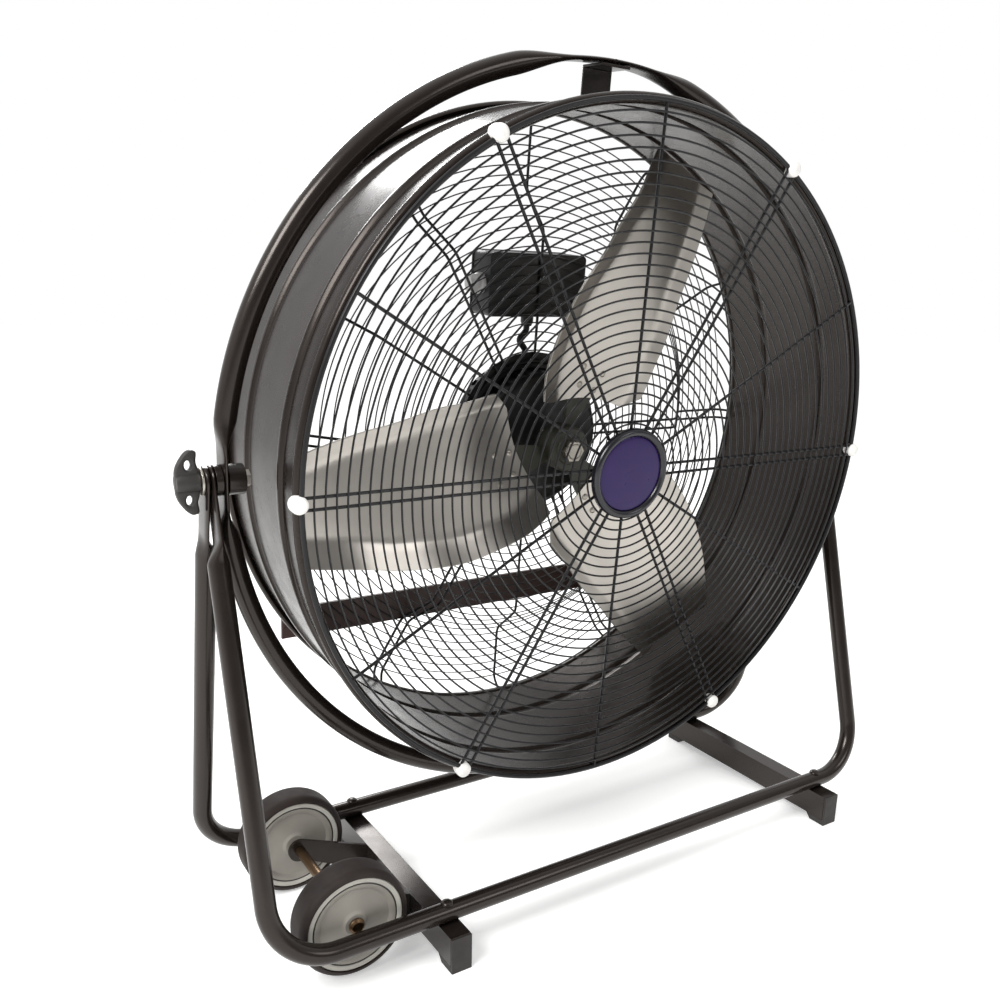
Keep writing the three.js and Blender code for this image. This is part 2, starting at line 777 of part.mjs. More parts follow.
function pivotSpacer(side) {
  const far = spacerStart + spacerLength;
  return alongX(sleeve(boltRadius + clearance, bossRadius, spacerStart, far, 20), side);
}

function pivotBolt(side) {
  const head = hoopRadius - flatThickness / 2 - bossLength - 2 * clearance;
  const shank = rod(boltRadius, head - 1, knobStart + knobDepth / 2, 12);
  return alongX(join(rod(boltHeadRadius, head - boltHeadHeight, head, 6), shank), side);
}

function pivotWasher(side) {
  return alongX(sleeve(boltRadius + clearance, washerRadius, washerStart, washerStart + washerThickness, 20),
    side);
}

// Two curved wings on a round hub, with an eye between each wing and the hub.
function knob(side) {
  const [near, far] = [knobStart, knobStart + knobDepth];
  const span = knobHalfSpan;
  const half = [[near, 0], [near, 0.3 * span], [near + 0.12 * knobDepth, 0.62 * span],
    [near + 0.1 * knobDepth, 0.95 * span], [near + 0.4 * knobDepth, span],
    [near + 0.7 * knobDepth, 0.78 * span], [far, 0.4 * span], [far, 0]];
  const mirror = half.slice(1, -1).reverse().map(([x, z]) => [x, -z]);
  const wings = plateXZ(outline([...half, ...mirror]), -knobThickness / 2, knobThickness / 2);
  const hub = alongX(rod(knobHubRadius, near, far, 16), 1);
  const bore = alongX(rod(boltRadius + clearance, near - 1, near + knobDepth / 2 + clearance, 16), 1);
  const eyes = [-1, 1].map((way) => rod(1, -knobThickness, knobThickness, 12)
    .scale(0.14 * knobDepth, 1, 0.15 * span).translate(near + 0.45 * knobDepth, 0, way * 0.52 * span));
  const body = cut(join(wings, hub), bore, ...eyes);
  return side > 0 ? body : body.rotateY(Math.PI);
}

// ---- stand ----------------------------------------------------------------

function uStations() {
  const stations = [];
  const down = [-tabEnd, 0, tabEnd, tabFlat, tabFlat + tabBlend / 4, tabFlat + tabBlend / 2,
    tabFlat + 0.75 * tabBlend, tabFlat + tabBlend];
  for (const depth of down) {
    stations.push(new THREE.Vector3(-legX, 0, -depth));
  }
  const bends = 8;
  for (let i = 0; i <= bends; i += 1) {
    const angle = (Math.PI / 2) * i / bends;
    stations.push(new THREE.Vector3(-legX + cornerRadius * (1 - Math.cos(angle)), 0,
      -legLength + cornerRadius * (1 - Math.sin(angle))));
  }
  const mirrored = stations.map((p) => new THREE.Vector3(-p.x, 0, p.z)).reverse();
  return [...stations, ...mirrored];
}

// A tube bent to a U, with its ends pressed flat and holed on the tilt axis.
function standTube(tabX, direction) {
  const tube = reshape(sweep(uStations(), tubeRadius, 8), (p) => {
    const share = 1 - ramp(-p.z, tabFlat, tabFlat + tabBlend);
    const side = Math.sign(p.x);
    const [offset, across] = pressed(Math.abs(p.x) - legX, p.y, share);
    if (share > 0) {
      p.set(side * (legX + (tabX - legX) * share + offset), across, p.z);
    }
  });
  const hole = alongX(rod(boltRadius + clearance, -2 * legX, 2 * legX, 16), 1);
  return cut(tube, hole).rotateX(direction * lean).translate(0, 0, pivotHeight);
}

function rail(x) {
  const [w, h, t] = [railWidth / 2, railHeight, railWall];
  const end = railReach - footEndPlate - clearance;
  const shape = outline([[-w, 0], [w, 0], [w, h], [-w, h]]);
  shape.holes.push(new THREE.Path([[-w + t, t], [-w + t, h - t], [w - t, h - t], [w - t, t]]
    .map(([px, pz]) => new THREE.Vector2(px, pz))));
  return plateXZ(shape, -end, end).translate(x, 0, footThickness + clearance);
}

// A moulded foot under a rail's end, with an upstand that closes the end.
function foot(x, direction) {
  const end = railReach;
  const inner = end - footEndPlate;
  const start = end - footLength;
  const shape = outline([[start + footChamfer, 0], [end, 0], [end, railTop], [inner, railTop],
    [inner, footThickness], [start, footThickness]]);
  const block = plateYZ(shape, -railWidth / 2, railWidth / 2);
  return (direction > 0 ? block : block.rotateZ(Math.PI)).translate(x, 0, 0);
}

// ---- wheels ---------------------------------------------------------------

function wheelDisc(y0) {
  const [inner, outer] = [wheelGroove - wheelGrooveWidth / 2, wheelGroove + wheelGrooveWidth / 2];
  const y1 = y0 + wheelWidth;
  const inset = 2;
  const d = wheelGrooveDepth;
  const bore = axleRadius + clearance;
  return turned([[bore, y0 + inset], [inner, y0 + inset], [inner, y0 + inset + d], [outer, y0 + inset + d],
    [outer, y0 + inset], [wheelDiscRadius, y0 + inset], [wheelDiscRadius, y1 - inset], [outer, y1 - inset],
    [outer, y1 - inset - d], [inner, y1 - inset - d], [inner, y1 - inset], [bore, y1 - inset]], 24)
    .translate(axleX, 0, axleZ);
}

function tyre(y0) {
  const y1 = y0 + wheelWidth;
  const inner = wheelDiscRadius + clearance;
  const round = (wheelRadius - inner) / 2;
  return turned([[inner, y0 + 1], [inner + round, y0], [wheelRadius - 1, y0 + round],
    [wheelRadius, y0 + 2 * round],
    [wheelRadius, y1 - 2 * round], [wheelRadius - 1, y1 - round], [inner + round, y1], [inner, y1 - 1]], 32)
    .translate(axleX, 0, axleZ);
}

function axle() {
  return rod(axleRadius, -frontWheelFace + 1, rearWheelFace + wheelWidth - 1, 16).translate(axleX, 0, axleZ);
}

function axleCap(y, direction) {
  const cap = turned([[0, 0], [axleCapRadius, 0], [axleCapRadius, axleCapHeight / 2],
    [axleCapRadius * 0.7, axleCapHeight], [0, axleCapHeight]], 16);
  return (direction > 0 ? cap : cap.rotateX(Math.PI)).translate(axleX, y, axleZ);
}

// A plate from the left rail's side to the axle.
function axleBracket(y0) {
  const face = -railLeft - railWidth / 2 - clearance;
  const [low, high] = [footThickness + clearance, railTop];
  const shape = new THREE.Shape();
  shape.moveTo(face, low);
  shape.lineTo(face, high);
  shape.lineTo(axleX + axleBossRadius * 0.5, axleZ + axleBossRadius * 0.87);
  shape.absarc(axleX, axleZ, axleBossRadius, Math.PI / 3, 1.6 * Math.PI, false);
  const plate = plateXZ(shape, y0, y0 + axleBracketThickness, 12);
  const hole = rod(axleRadius + clearance, y0 - 1, y0 + axleBracketThickness + 1, 16)
    .translate(axleX, 0, axleZ);
  return cut(plate, hole);
}

// ---- assembly -------------------------------------------------------------

function buildDrum() {
  const drum = new THREE.Group();
  const paint = finishes;
  drum.add(node('drum_shell', drumShell(), paint.drumPaint));
  drum.add(node('front_guard', frontGuard(), paint.guardWire));
  drum.add(node('rear_guard', rearGuard(), paint.guardWire));
  spokeAngles().forEach((degrees, i) => {
    drum.add(node(`guard_clip_${i + 1}`, guardClip(degrees), paint.clip));
  });
  drum.add(...badge());
  drum.add(node('motor_shell', motorShell(), paint.motor));
  drum.add(node('motor_cover', motorCover(), paint.motor));
  drum.add(...motorInside());
  drum.add(node('motor_mount_ring', mountRing(), paint.motor));
  drum.add(node('rotor_shaft', shaftWithRotor(), paint.zinc));
  drum.add(node('fan_hub', fanHub(), paint.hub));
  for (let i = 0; i < bladeCount; i += 1) {
    drum.add(node(`fan_blade_${i + 1}`, blade(i), paint.blade));
  }
  drum.add(...switchBox());
  drum.add(node('speed_dial', dial(), paint.dial));
  drum.add(node('box_gland', gland(true), paint.box));
  drum.add(node('motor_gland', motorGland(), paint.box));
  drum.add(node('motor_lead', motorLead(), paint.cable));
  drum.add(node('rear_brace_bar', braceBar(), paint.brace));
  drum.add(node('hoop_bracket_top', hoopBracket(1), paint.tubePaint));
  drum.add(node('hoop_bracket_bottom', hoopBracket(-1), paint.tubePaint));
  for (const [name, side] of [['left', -1], ['right', 1]]) {
    drum.add(node(`hoop_${name}`, hoopHalf(side), paint.tubePaint));
    drum.add(node(`pivot_boss_${name}`, pivotBoss(side), paint.tubePaint));
    drum.add(node(`pivot_spacer_${name}`, pivotSpacer(side), paint.tubePaint));
    drum.add(node(`pivot_bolt_${name}`, pivotBolt(side), paint.zinc));
    drum.add(node(`lock_knob_${name}`, knob(side), paint.knob));
  }
  drum.rotation.x = tilt;
  drum.position.z = pivotHeight;
  return drum;
}

function buildStand() {
  const stand = new THREE.Group();
  stand.add(node('front_stand_tube', standTube(innerTab, -1), finishes.tubePaint));
  stand.add(node('rear_stand_tube', standTube(outerTab, 1), finishes.tubePaint));
  for (const [name, side, x] of [['left', -1, -railLeft], ['right', 1, railRight]]) {
    stand.add(node(`base_rail_${name}`, rail(x), finishes.tubePaint));
    stand.add(node(`foot_front_${name}`, foot(x, -1), finishes.foot));
    stand.add(node(`foot_rear_${name}`, foot(x, 1), finishes.foot));
    stand.add(node(`pivot_washer_${name}`, pivotWasher(side).translate(0, 0, pivotHeight), finishes.zinc));
  }
  return stand;
}

function buildWheels() {
  const wheels = new THREE.Group();
  const front = -frontWheelFace;
  const rear = rearWheelFace;
  wheels.add(node('axle', axle(), finishes.axle));
  const behindFront = front + wheelWidth + axleBracketGap;
  const beforeRear = rear - axleBracketGap - axleBracketThickness;
  wheels.add(node('axle_bracket_front', axleBracket(behindFront), finishes.tubePaint));
  wheels.add(node('axle_bracket_rear', axleBracket(beforeRear), finishes.tubePaint));
  wheels.add(node('axle_cap_front', axleCap(front + 1 - clearance, -1), finishes.zinc));
  wheels.add(node('axle_cap_rear', axleCap(rear + wheelWidth - 1 + clearance, 1), finishes.zinc));
  for (const [name, y] of [['front', front], ['rear', rear]]) {
    wheels.add(node(`wheel_disc_${name}`, wheelDisc(y), finishes.wheelDisc));
    wheels.add(node(`tyre_${name}`, tyre(y), finishes.tyre));
  }
  return wheels;
}

const drumFan = new THREE.Group();
drumFan.add(buildStand(), buildWheels(), buildDrum());
const reach = new THREE.Box3().setFromObject(drumFan, true);
drumFan.position.y = -(reach.min.y + reach.max.y) / 2;

export default drumFan;
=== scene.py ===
"""Looks for a drum fan on a tilting tube stand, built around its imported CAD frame."""

import json
import math

import bmesh
import bpy
from bpy.props import FloatProperty, FloatVectorProperty, IntProperty, PointerProperty
from mathutils import Matrix, Vector


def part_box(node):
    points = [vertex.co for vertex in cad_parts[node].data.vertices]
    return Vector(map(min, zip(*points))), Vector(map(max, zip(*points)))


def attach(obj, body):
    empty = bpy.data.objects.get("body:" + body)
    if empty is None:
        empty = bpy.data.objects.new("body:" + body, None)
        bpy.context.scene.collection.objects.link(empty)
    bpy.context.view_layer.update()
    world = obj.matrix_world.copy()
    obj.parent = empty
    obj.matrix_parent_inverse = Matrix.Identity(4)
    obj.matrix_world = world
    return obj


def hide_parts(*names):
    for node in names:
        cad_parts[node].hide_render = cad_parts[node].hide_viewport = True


bl_info = {
    "name": "Drum Fan",
    "version": (1, 0, 0),
    "blender": (4, 5, 0),
    "location": "View3D > Sidebar > Drum Fan",
    "description": "Dresses the packed drum fan in its finished pieces and materials",
    "category": "Add Mesh",
}

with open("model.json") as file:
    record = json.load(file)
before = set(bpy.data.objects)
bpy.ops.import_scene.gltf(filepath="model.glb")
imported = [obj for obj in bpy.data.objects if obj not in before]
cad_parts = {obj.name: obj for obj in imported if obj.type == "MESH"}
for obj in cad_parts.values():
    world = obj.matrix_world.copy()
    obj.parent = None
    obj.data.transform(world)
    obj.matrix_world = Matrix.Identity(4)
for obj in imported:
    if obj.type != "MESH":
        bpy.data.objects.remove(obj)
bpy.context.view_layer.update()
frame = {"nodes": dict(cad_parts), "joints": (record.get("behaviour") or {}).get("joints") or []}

JOINTS = {joint["name"]: joint for joint in frame["joints"]}
PIVOT = Vector(JOINTS["drum_tilt"]["pos_m"])
FAN_AXIS = Vector(JOINTS["fan_spin"]["axis"]).normalized()
REST_TILT = math.atan2(FAN_AXIS.z, FAN_AXIS.y)
# The drum's own space has the fan axis along Y and the tilt axis along X through its origin.
DRUM_PLACE = Matrix.Translation(PIVOT) @ Matrix.Rotation(REST_TILT, 4, "X")
PIVOT_PLACE = Matrix.Translation(PIVOT)
# The stand's own space has its origin on the floor, straight below the tilt axis.
STAND_PLACE = Matrix.Translation((0, PIVOT.y, 0))
# Left open between two pieces that only just miss each other.
CLEARANCE = 0.0003
SIDES = {"left": -1, "right": 1}
# Front side of each wheel's tyre, along Y from the tilt axis.
WHEEL_FACES = {"front": -0.112, "rear": 0.068}
BLADE_COUNT = 3
MERGE_DISTANCE = 1e-6
# A turned profile's point closer to the axis than this is a single point.
ON_AXIS = 1e-7
# Edges steeper than this many degrees stay sharp.
SHARP_EDGE = 34

# Blade edges: degrees about the fan axis, and distance behind the tilt axis, against radius in metres.
LEADING_TURN = [(0.060, 0), (0.080, 8), (0.150, 36), (0.230, 49), (0.300, 54.5), (0.358, 58.5)]
TRAILING_TURN = [(0.060, 137), (0.080, 129), (0.150, 106), (0.230, 90), (0.300, 81), (0.358, 77)]
LEADING_Y = [(0.060, 0.025), (0.150, 0.014), (0.358, 0.013)]
TRAILING_Y = [(0.060, -0.002), (0.150, -0.014), (0.230, -0.027), (0.300, -0.020), (0.358, -0.004)]


# ---- settings ---------------------------------------------------------------


def length(name, description, default):
    return FloatProperty(name=name, description=description, default=default, unit="LENGTH", precision=4)


def angle(name, description, default):
    return FloatProperty(name=name, description=description, default=math.radians(default), unit="ROTATION")


def colour(name, description, default):
    return FloatVectorProperty(
        name=name, description=description, default=default, size=3, min=0, max=1, subtype="COLOR"
    )


class DrumSizes(bpy.types.PropertyGroup):
    """Sizes of the drum's sheet."""

    radius: length("Radius", "Outside of the drum's sheet", 0.3825)
    front: length("Front", "Front bead's centre in front of the tilt axis", 0.096)
    rear: length("Rear", "Rear bead's centre behind the tilt axis", 0.120)
    sheet: length("Sheet", "Thickness of the sheet", 0.0025)
    bead_radius: length("Bead radius", "Radius of the rolled edge", 0.006)
    bead_circle: length("Bead circle", "Radius of the circle that the rolled edges lie on", 0.384)
    rib_height: length("Rib height", "Height of a pressed rib", 0.004)
    rib_width: length("Rib width", "Width of a pressed rib", 0.014)
    front_rib: length("Front rib", "Front rib's place along the fan axis", -0.045)
    rear_rib: length("Rear rib", "Rear rib's place along the fan axis", 0.056)
    drain_radius: length("Drain radius", "Radius of the drain hole", 0.0075)
    drain_place: length("Drain place", "Drain hole's place behind the tilt axis", 0.028)


class GuardSizes(bpy.types.PropertyGroup):
    """Sizes of the wire guards, their clips and the badge."""

    ring_pitch: length("Ring pitch", "Distance from one ring to the next", 0.0113)
    ring_wire: length("Ring wire", "Radius of the front guard's ring wire", 0.0011)
    rear_wire: length("Rear ring wire", "Radius of the rear guard's ring wire", 0.0008)
    rim_wire: length("Rim wire", "Radius of the rim wire", 0.0025)
    spoke_wire: length("Spoke wire", "Radius of the spoke wire", 0.00175)
    weld: length("Weld", "Depth that a ring is sunk into the spokes", 0.0006)
    pair_half: length("Pair half", "Half the distance between the spokes of a pair", 0.006)
    spoke_pairs: IntProperty(name="Spoke pairs", description="Pairs of spokes, one at each clip", default=6)
    front_y: length("Front guard", "Front guard's spokes along the fan axis", -0.1048)
    rear_y: length("Rear guard", "Rear guard's rim wire along the fan axis", 0.1288)
    bulge: length("Bulge", "Outer part of the rear guard behind its rim wire", 0.013)
    dish: length("Dish", "Depth of the rear guard's cone", 0.044)
    step_outer: length("Step outside", "Radius where the rear guard's cone starts", 0.293)
    step_inner: length("Step inside", "Radius where the rear guard's cone ends", 0.250)
    bore: length("Bore", "Radius of the rear guard's innermost ring", 0.092)
    plate_radius: length("Plate radius", "Radius of the plate behind the badge", 0.046)
    clip_radius: length("Clip radius", "Radius of a guard clip", 0.00875)
    badge_radius: length("Badge radius", "Outside of the badge's rim", 0.052)
    badge_lip: length("Badge lip", "Width of the badge's rim", 0.009)
    badge_height: length("Badge height", "Height of the badge's rim", 0.008)


class FanSizes(bpy.types.PropertyGroup):
    """Sizes of the blades, hub and motor."""

    blade_thickness: length("Blade thickness", "Thickness of a blade", 0.0024)
    blade_tip: length("Blade tip", "Radius of the blade tips", 0.358)
    blade_dish: length("Blade dish", "Depth of a blade's flat middle behind its edges", 0.010)
    leading_strip: length("Leading strip", "Width of the strip folded along the leading edge", 0.021)
    trailing_strip: length("Trailing strip", "Width of the strip folded along the trailing edge", 0.030)
    root_line: length("Root line", "Distance of a blade's straight root from the fan axis", 0.0605)
    root_turn: angle("Root turn", "Angle about the fan axis at which that distance is measured", 87.6)
    hub_radius: length("Hub radius", "Radius of the hub", 0.028)
    hub_front: length("Hub front", "Hub's front face along the fan axis", 0.004)
    hub_length: length("Hub length", "Length of the hub", 0.034)
    nut_radius: length("Nut radius", "Radius of the hub nut's corners", 0.014)
    nut_height: length("Nut height", "Height of the hub nut", 0.009)
    arm_reach: length("Arm reach", "Radius that the hub's arms reach", 0.112)
    arm_thickness: length("Arm thickness", "Thickness of the hub's arms", 0.004)
    rivet_radius: length("Rivet radius", "Radius of a rivet head", 0.0042)
    motor_radius: length("Motor radius", "Radius of the motor", 0.084)
    motor_front: length("Motor front", "Motor's front face behind the tilt axis", 0.064)
    motor_length: length("Motor length", "Length of the motor", 0.086)
    flange_radius: length("Flange radius", "Radius of the motor's flange", 0.098)
    flange_y: length("Flange", "Front face of the motor's flange", 0.1049)
    flange_thickness: length("Flange thickness", "Thickness of the motor's flange", 0.006)
    fin_depth: length("Fin depth", "Depth of the grooves between the motor's fins", 0.003)


class BoxSizes(bpy.types.PropertyGroup):
    """Sizes of the switch box and its lead."""

    width: length("Width", "Width of the switch box", 0.140)
    height: length("Height", "Height of the switch box", 0.075)
    depth: length("Depth", "Depth of the switch box", 0.042)
    front: length("Front", "Box's front face along the fan axis", 0.09985)
    centre: length("Centre", "Box's centre above the fan axis", 0.184)
    corner: length("Corner", "Radius of the box's corners", 0.006)
    cover: length("Cover", "Thickness of the box's cover", 0.003)
    dial_radius: length("Dial radius", "Radius of the speed dial's skirt", 0.0125)
    dial_height: length("Dial height", "Height of the speed dial", 0.018)
    lead_radius: length("Lead radius", "Radius of the motor's lead", 0.004)
    lead_bow: length("Lead bow", "Sideways bow of the motor's lead", 0.009)
    gland_height: length("Gland height", "Height of a cable gland", 0.013)


class TubeSizes(bpy.types.PropertyGroup):
    """Sizes of the hoop and the stand's tubes."""

    radius: length("Radius", "Radius of the tube", 0.011)
    flat_thickness: length("Flat thickness", "Thickness of a tube that is pressed flat", 0.005)
    flat_width: length("Flat width", "Width of a tube that is pressed flat", 0.032)
    hoop_radius: length("Hoop radius", "Radius of the hoop's centre line", 0.425)
    hoop_end_gap: length("Hoop end gap", "Half the gap between the hoop's ends", 0.0015)
    hoop_end_flat: length("Hoop end flat", "Length pressed flat at a hoop's end", 0.045)
    hoop_end_blend: length("Hoop end blend", "Length over which that flat turns round", 0.075)
    pivot_flat: length("Pivot flat", "Length pressed flat each side of a pivot", 0.028)
    pivot_blend: length("Pivot blend", "Length over which that flat turns round", 0.034)
    leg_x: length("Leg place", "Legs' centre lines from the middle", 0.44025)
    inner_tab: length("Inner tab", "Front tube's flattened ends from the middle", 0.4376)
    outer_tab: length("Outer tab", "Rear tube's flattened ends from the middle", 0.4429)
    drop: length("Drop", "Tilt axis above the centre line of the floor tubes", 0.480)
    half_spread: length("Half spread", "Floor tubes in front of and behind the tilt axis", 0.130)
    corner: length("Corner", "Radius of the tubes' bends", 0.068)
    tab_end: length("Tab end", "Flattened leg above the tilt axis", 0.015)
    tab_flat: length("Tab flat", "Length pressed flat below the tilt axis", 0.058)
    tab_blend: length("Tab blend", "Length over which that flat turns round", 0.026)
    knob_start: length("Knob start", "Near face of a lock knob from the middle", 0.4485)
    knob_depth: length("Knob depth", "Depth of a lock knob", 0.023)
    knob_half_span: length("Knob half span", "Half the span of a lock knob's wings", 0.032)
    knob_thickness: length("Knob thickness", "Thickness of a lock knob's wings", 0.009)


class WheelSizes(bpy.types.PropertyGroup):
    """Sizes of the transport wheels."""

    radius: length("Radius", "Outside of the tyre", 0.0625)
    width: length("Width", "Width of the tyre", 0.038)
    disc_radius: length("Disc radius", "Outside of the wheel's disc", 0.055)
    groove: length("Groove", "Radius of the dark ring on the disc", 0.048)
    groove_width: length("Groove width", "Width of the dark ring on the disc", 0.002)
    inset: length("Inset", "Disc's face inside the tyre's side", 0.002)
    bore: length("Bore", "Radius of the wheel's bore", 0.0063)
    axle_x: length("Axle place", "Axle from the middle", -0.343)
    axle_z: length("Axle height", "Axle above the floor", 0.063)


class FinishColours(bpy.types.PropertyGroup):
    """Colours of the finishes."""

    drum: colour("Drum paint", "Warm black paint of the drum", (0.0110, 0.0082, 0.0072))
    tube: colour("Tube paint", "Warm black powder coat of the tubes", (0.0120, 0.0090, 0.0078))
    wire: colour("Guard wire", "Black coated wire", (0.0085, 0.0080, 0.0090))
    blade: colour("Blade", "Satin aluminium sheet", (0.57, 0.535, 0.49))
    # The hub's dark olive is painted shade: the colour of the arms' shaded undersides, given to the whole hub
    # and its arms.
    hub: colour("Hub", "Dark olive coating", (0.030, 0.029, 0.019))
    motor: colour("Motor", "Black paint of the motor", (0.008, 0.008, 0.008))
    box: colour("Switch box", "Black moulding", (0.0085, 0.0085, 0.0085))
    knob: colour("Knob", "Black moulding of the lock knobs", (0.026, 0.023, 0.021))
    dial: colour("Dial", "Light grey moulding", (0.58, 0.57, 0.56))
    clip: colour("Clip", "White moulding", (0.86, 0.84, 0.81))
    badge_rim: colour("Badge rim", "Glossy black", (0.008, 0.008, 0.011))
    badge_disc: colour("Badge disc", "Violet", (0.017, 0.0042, 0.070))
    brace: colour("Brace bar", "Dark brown paint", (0.050, 0.026, 0.021))
    disc: colour("Wheel disc", "Grey beige moulding", (0.26, 0.243, 0.212))
    rim: colour("Wheel rim", "Pale grey moulding", (0.45, 0.435, 0.39))
    tyre: colour("Tyre", "Dark brown rubber", (0.019, 0.0125, 0.0105))
    foot: colour("Foot", "Black moulding of the feet", (0.020, 0.016, 0.014))
    zinc: colour("Zinc", "Zinc plating", (0.45, 0.42, 0.37))
    axle: colour("Axle", "Yellow passivated steel", (0.15, 0.095, 0.055))
    copper: colour("Copper", "Varnished winding wire", (0.40, 0.15, 0.06))
    cable: colour("Cable", "Black sheath", (0.010, 0.010, 0.010))


class StageSettings(bpy.types.PropertyGroup):
    """Camera, floor and light."""

    camera_place: FloatVectorProperty(
        name="Camera place",
        description="Camera in the frame",
        default=(-0.6982, -0.9578, 0.7260),
        size=3,
        unit="LENGTH",
    )
    yaw: angle("Yaw", "Camera's turn about the vertical", -33.469)
    pitch: angle("Pitch", "Camera's tilt from the level", -15.970)
    roll: angle("Roll", "Camera's turn about its own axis", 1.526)
    lens: FloatProperty(name="Lens", description="Focal length for a 36 mm sensor", default=35.148)
    shift_x: FloatProperty(name="Shift X", description="Sideways shift of the picture", default=-0.02305)
    shift_y: FloatProperty(name="Shift Y", description="Upward shift of the picture", default=0.06528)
    floor_size: length("Floor size", "Length of the floor's sides", 30.0)
    floor: colour("Floor", "Pale floor", (0.86, 0.86, 0.85))
    glow: FloatProperty(name="Glow", description="Strength of the floor's own light", default=0.36)
    sky: FloatProperty(name="Sky", description="Strength of the even light from all round", default=1.0)
    front_share: FloatProperty(
        name="Front share", description="Share of it that comes from the front", default=0.24
    )


# ---- finishes ---------------------------------------------------------------


class Graph:
    """A material's nodes, with the shader's own sockets at hand."""

    # Values of a noise between which a variation runs from one end to the other.
    TINT_SPAN = (0.32, 0.68)
    ROUGHNESS_SPAN = (0.3, 0.7)

    def __init__(self, name):
        self.material = bpy.data.materials.new(name)
        self.material.use_nodes = True
        self.nodes = self.material.node_tree.nodes
        self.links = self.material.node_tree.links
        self.shader = self.nodes["Principled BSDF"]
        self.place = self.nodes.new("ShaderNodeTexCoord").outputs["Object"]

    def noise(self, scale, detail=3.0, stretch=(1, 1, 1)):
        mapping = self.nodes.new("ShaderNodeMapping")
        mapping.inputs["Scale"].default_value = stretch
        self.links.new(self.place, mapping.inputs["Vector"])
        texture = self.nodes.new("ShaderNodeTexNoise")
        texture.inputs["Scale"].default_value = scale
        texture.inputs["Detail"].default_value = detail
        self.links.new(mapping.outputs["Vector"], texture.inputs["Vector"])
        return texture.outputs["Fac"]

    def tint(self, base, mottle, factor):
        """The base colour, darker and lighter by the mottle share as the factor varies."""
        ramp = self.nodes.new("ShaderNodeValToRGB")
        low, high = ramp.color_ramp.elements
        low.position, high.position = self.TINT_SPAN
        low.color = (*[c * (1 - mottle) for c in base], 1)
        high.color = (*[min(1, c * (1 + mottle)) for c in base], 1)
        self.links.new(factor, ramp.inputs["Fac"])
        self.links.new(ramp.outputs["Color"], self.shader.inputs["Base Color"])

    def vary_roughness(self, low, high, factor):
        span = self.nodes.new("ShaderNodeMapRange")
        span.inputs["From Min"].default_value = self.ROUGHNESS_SPAN[0]
        span.inputs["From Max"].default_value = self.ROUGHNESS_SPAN[1]
        span.inputs["To Min"].default_value = low
        span.inputs["To Max"].default_value = high
        self.links.new(factor, span.inputs["Value"])
        self.links.new(span.outputs["Result"], self.shader.inputs["Roughness"])

    def bump(self, distance, factor, strength=1.0):
        bump = self.nodes.new("ShaderNodeBump")
        bump.inputs["Distance"].default_value = distance
        bump.inputs["Strength"].default_value = strength
        self.links.new(factor, bump.inputs["Height"])
        self.links.new(bump.outputs["Normal"], self.shader.inputs["Normal"])


def paint_finish(name, base, roughness, specular=0.5, peel=0.00012, warmth=0.0):
    """Sprayed paint: faint mottling, the fine waves of orange peel, and a gloss that may be warm."""
    graph = Graph(name)
    graph.shader.inputs["Specular IOR Level"].default_value = specular
    graph.shader.inputs["Specular Tint"].default_value = (1, 1 - warmth * 0.6, 1 - warmth, 1)
    graph.tint(base, 0.16, graph.noise(scale=9, detail=4))
    graph.vary_roughness(roughness * 0.82, roughness * 1.2, graph.noise(scale=34, detail=5))
    graph.bump(peel, graph.noise(scale=420, detail=2), 0.5)
    return graph.material


def moulded_finish(name, base, roughness, grain=0.0002, specular=0.5):
    """Moulded plastic or rubber: a fine even grain with slight cloudiness."""
    graph = Graph(name)
    graph.shader.inputs["Specular IOR Level"].default_value = specular
    graph.tint(base, 0.10, graph.noise(scale=22, detail=3))
    graph.vary_roughness(roughness * 0.88, roughness * 1.12, graph.noise(scale=60, detail=4))
    graph.bump(grain, graph.noise(scale=1300, detail=2), 0.6)
    return graph.material


def metal_finish(name, base, roughness, stretch, scale=180, depth=0.00003, mottle=0.10):
    """Bare or plated metal with drawn marks along one direction."""
    graph = Graph(name)
    graph.shader.inputs["Metallic"].default_value = 1.0
    marks = graph.noise(scale, 4, stretch)
    graph.tint(base, mottle, graph.noise(scale=14, detail=4))
    graph.vary_roughness(roughness * 0.7, roughness * 1.35, marks)
    graph.bump(depth, marks, 0.7)
    return graph.material


def sheet_finish(name, base, roughness):
    """Satin sheet metal: broad faint clouds and a very fine even tooth."""
    graph = Graph(name)
    graph.shader.inputs["Metallic"].default_value = 1.0
    graph.tint(base, 0.035, graph.noise(scale=6, detail=3))
    graph.vary_roughness(roughness * 0.92, roughness * 1.08, graph.noise(scale=11, detail=3))
    graph.bump(0.000004, graph.noise(scale=900, detail=2), 0.4)
    return graph.material


def tyre_finish(name, base):
    """Rubber with dust held in faint rings of wear."""
    graph = Graph(name)
    graph.shader.inputs["Specular IOR Level"].default_value = 0.35
    graph.tint(base, 0.28, graph.noise(scale=40, detail=6))
    graph.vary_roughness(0.62, 0.88, graph.noise(scale=24, detail=4))
    graph.bump(0.0003, graph.noise(scale=700, detail=4), 0.6)
    return graph.material


def floor_finish(name, base, glow):
    """Matt paper with a barely visible tooth, lit a little from below like a light table."""
    graph = Graph(name)
    graph.shader.inputs["Emission Color"].default_value = (1, 1, 1, 1)
    graph.shader.inputs["Emission Strength"].default_value = glow
    graph.shader.inputs["Specular IOR Level"].default_value = 0.1
    graph.tint(base, 0.006, graph.noise(scale=300, detail=2))
    graph.vary_roughness(0.85, 0.95, graph.noise(scale=300, detail=2))
    return graph.material


def winding_finish(name, base):
    """Varnished wire laid side by side."""
    graph = Graph(name)
    graph.shader.inputs["Metallic"].default_value = 0.8
    graph.tint(base, 0.30, graph.noise(scale=30, detail=3))
    graph.vary_roughness(0.3, 0.5, graph.noise(scale=120, detail=2))
    graph.bump(0.0005, graph.noise(scale=260, detail=1, stretch=(1, 8, 1)), 0.8)
    return graph.material


